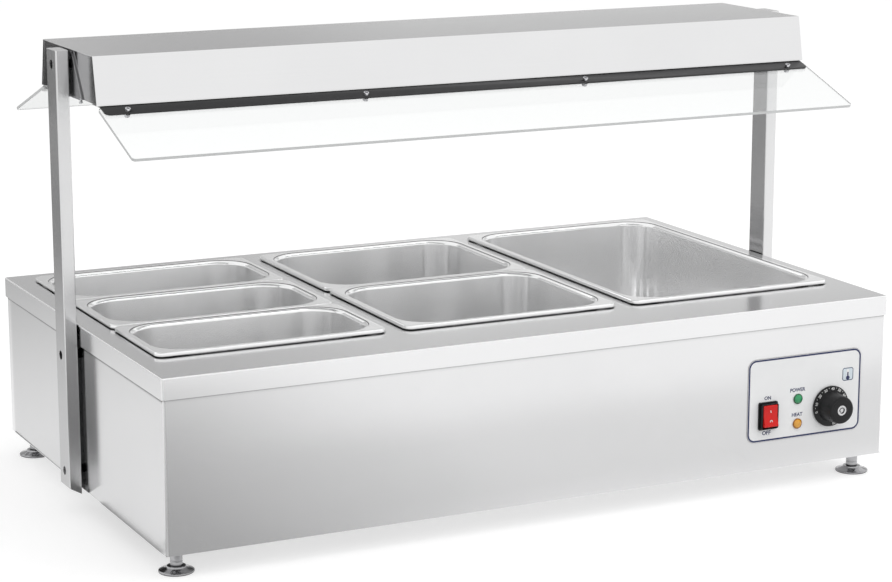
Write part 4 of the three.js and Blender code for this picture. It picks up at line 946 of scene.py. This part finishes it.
def set_board(name, lay, finish):
    """A flat board of the set: a square of one metre, stretched and moved."""
    work = bmesh.new()
    bmesh.ops.create_grid(work, x_segments=1, y_segments=1, size=0.5)
    bmesh.ops.transform(work, matrix=lay, verts=work.verts)
    mesh = bpy.data.meshes.new(name)
    work.to_mesh(mesh)
    work.free()
    mesh.materials.append(finish)
    board = bpy.data.objects.new(name, mesh)
    bpy.context.collection.objects.link(board)
    return board


def seen_directly(tree):
    """1 where the camera sees the set, also by way of metal and glass."""
    path = node(tree, "ShaderNodeLightPath").outputs
    seen = combine(tree, "MAXIMUM", path["Is Camera Ray"], path["Is Glossy Ray"])
    return combine(tree, "MAXIMUM", seen, path["Is Transmission Ray"])


floor_width = 24
floor_glow = 0.60
floor_finish, tree = set_finish("studio floor")
lift = combine(tree, "MULTIPLY", seen_directly(tree), floor_glow)
glow = node(tree, "ShaderNodeEmission", {"Strength": lift}).outputs[0]
matt = node(tree, "ShaderNodeBsdfDiffuse", {"Color": (0.5, 0.5, 0.5, 1)}).outputs[0]
whole = node(tree, "ShaderNodeAddShader", {0: matt, 1: glow}).outputs[0]
tree.links.new(whole, tree.nodes["Material Output"].inputs["Surface"])
floor_lay = Matrix.Diagonal((floor_width, floor_width, 1, 1))
set_board("studio_floor", floor_lay, floor_finish)

world = bpy.data.worlds.new("studio surround")
bpy.context.scene.world = world
world.use_nodes = True
tree = world.node_tree
light = tree.nodes["Background"]
light.inputs["Color"].default_value = (1, 1, 1, 1)
level = spread(tree, seen_directly(tree), 0.0, 1.0, 0.80, 1.0)
tree.links.new(level, light.inputs["Strength"])


def soft_lamp(name, place, target, width, height, power):
    """A large soft lamp aimed at a point. Metal mirrors the white set, and not the lamp."""
    data = bpy.data.lights.new(name, "AREA")
    data.shape = "RECTANGLE"
    data.size = width
    data.size_y = height
    data.energy = power
    lamp = bpy.data.objects.new(name, data)
    lamp.visible_glossy = False
    bpy.context.collection.objects.link(lamp)
    aim = Vector(target) - Vector(place)
    lamp.matrix_world = (
        Matrix.Translation(place) @ aim.to_track_quat("-Z", "Y").to_matrix().to_4x4())


soft_lamp("key", (3.4, -1.6, 1.6), (0.3, -0.3, 0.2), 2.8, 2.4, 20)
soft_lamp("front", (0.6, -3.4, 2.6), (0.0, -0.3, 0.4), 3.4, 1.6, 14)
soft_lamp("top", (1.2, -0.8, 3.0), (0.1, 0.0, 0.3), 3.2, 1.5, 24)
soft_lamp("back", (0.3, 3.1, 2.15), (0.0, 0.0, 0.3), 5.0, 0.6, 8)


def grey_card(name, low, high, soft, fade):
    """A grey card between two corners that shows in the steel alone.

    Photographers set such cards. Its edges are soft, and its darkness goes along X as
    fade says: (first place, last place, first share, last share).
    """
    across = 1 if high[1] > low[1] else 2
    size = [last - first for first, last in zip(low, high)]
    lay = Matrix.Diagonal((size[0], size[across], 1, 1))
    if across == 2:
        lay = Matrix.Rotation(math.pi / 2, 4, "X") @ lay
    middle = [(first + last) / 2 for first, last in zip(low, high)]
    finish, tree = set_finish(name)
    at = parts_of(tree, node(tree, "ShaderNodeTexCoord").outputs["Object"])
    at_x, at_across = at["X"], at["XYZ"[across]]
    share = spread(tree, at_x, *fade, interpolation_type="SMOOTHSTEP")
    for place, start, end, to_start, to_end in (
            (at_x, low[0], low[0] + soft, 0.0, 1.0),
            (at_across, low[across], low[across] + soft, 0.0, 1.0),
            (at_across, high[across] - soft, high[across], 1.0, 0.0)):
        edge = spread(tree, place, start, end, to_start, to_end, interpolation_type="SMOOTHSTEP")
        share = combine(tree, "MULTIPLY", share, edge)
    clear = node(tree, "ShaderNodeBsdfTransparent").outputs[0]
    dark = node(tree, "ShaderNodeEmission", {"Color": (0.02, 0.02, 0.02, 1), "Strength": 1.0})
    whole = node(tree, "ShaderNodeMixShader", {0: share, 1: clear, 2: dark.outputs[0]}).outputs[0]
    tree.links.new(whole, tree.nodes["Material Output"].inputs["Surface"])
    card = set_board(name, Matrix.Translation(middle) @ lay, finish)
    card.visible_camera = False
    card.visible_diffuse = False
    card.visible_shadow = False
    card.visible_transmission = False


grey_card("card_front", (-0.70, -1.42, 0.003), (0.40, -0.30, 0.003), 0.08,
          (-0.55, 0.15, 0.56, 0.0))
grey_card("card_under", (-0.584, -0.24, 0.005), (-0.40, 0.03, 0.005), 0.02,
          (-1.2, -0.5, 0.96, 0.96))
grey_card("card_cheek", (-2.60, 3.55, 0.005), (-1.20, 6.40, 0.005), 0.30,
          (-2.0, -1.2, 0.90, 0.90))
grey_card("card_post", (-1.08, -1.34, 0.006), (-0.588, -0.18, 0.006), 0.04,
          (-1.2, -0.5, 0.86, 0.86))
grey_card("card_side", (-2.60, 0.90, 0.004), (-1.10, 5.60, 0.004), 0.16,
          (-2.0, -1.2, 0.35, 0.50))
grey_card("card_skirt", (-0.45, -0.95, 0.004), (1.20, -0.31, 0.004), 0.20,
          (-0.4, 0.0, 0.0, 0.17))
grey_card("card_left", (-2.80, -0.20, 0.003), (0.40, 5.00, 0.003), 2.30,
          (-0.2, 0.4, 0.62, 0.0))
grey_card("card_back", (-2.50, 3.20, 0.30), (5.50, 3.20, 1.30), 0.10, (0.6, 1.6, 0.48, 0.21))
grey_card("card_high", (-2.50, 3.22, 1.22), (5.50, 3.22, 1.80), 0.08, (0.3, 1.5, 0.54, 0.42))
grey_card("card_top", (-0.60, 1.40, 0.775), (2.60, 1.40, 1.10), 0.02, (-0.3, 0.4, 0.0, 0.34))

# The camera stands where the photographer's did: low, to the left of the front.

camera_data = bpy.data.cameras.new("camera")
camera_data.sensor_width = 36.0
camera_data.lens = 103.05
camera_data.clip_start = 0.05
camera = bpy.data.objects.new("camera", camera_data)
bpy.context.collection.objects.link(camera)
camera.location = (-1.57699, -3.23523, 1.04705)
forward = Vector((0.42958626, 0.87731695, -0.21394065))
camera.rotation_mode = "QUATERNION"
camera.rotation_quaternion = forward.to_track_quat("-Z", "Y")
bpy.context.scene.camera = camera
bpy.context.scene.view_settings.view_transform = "Standard"
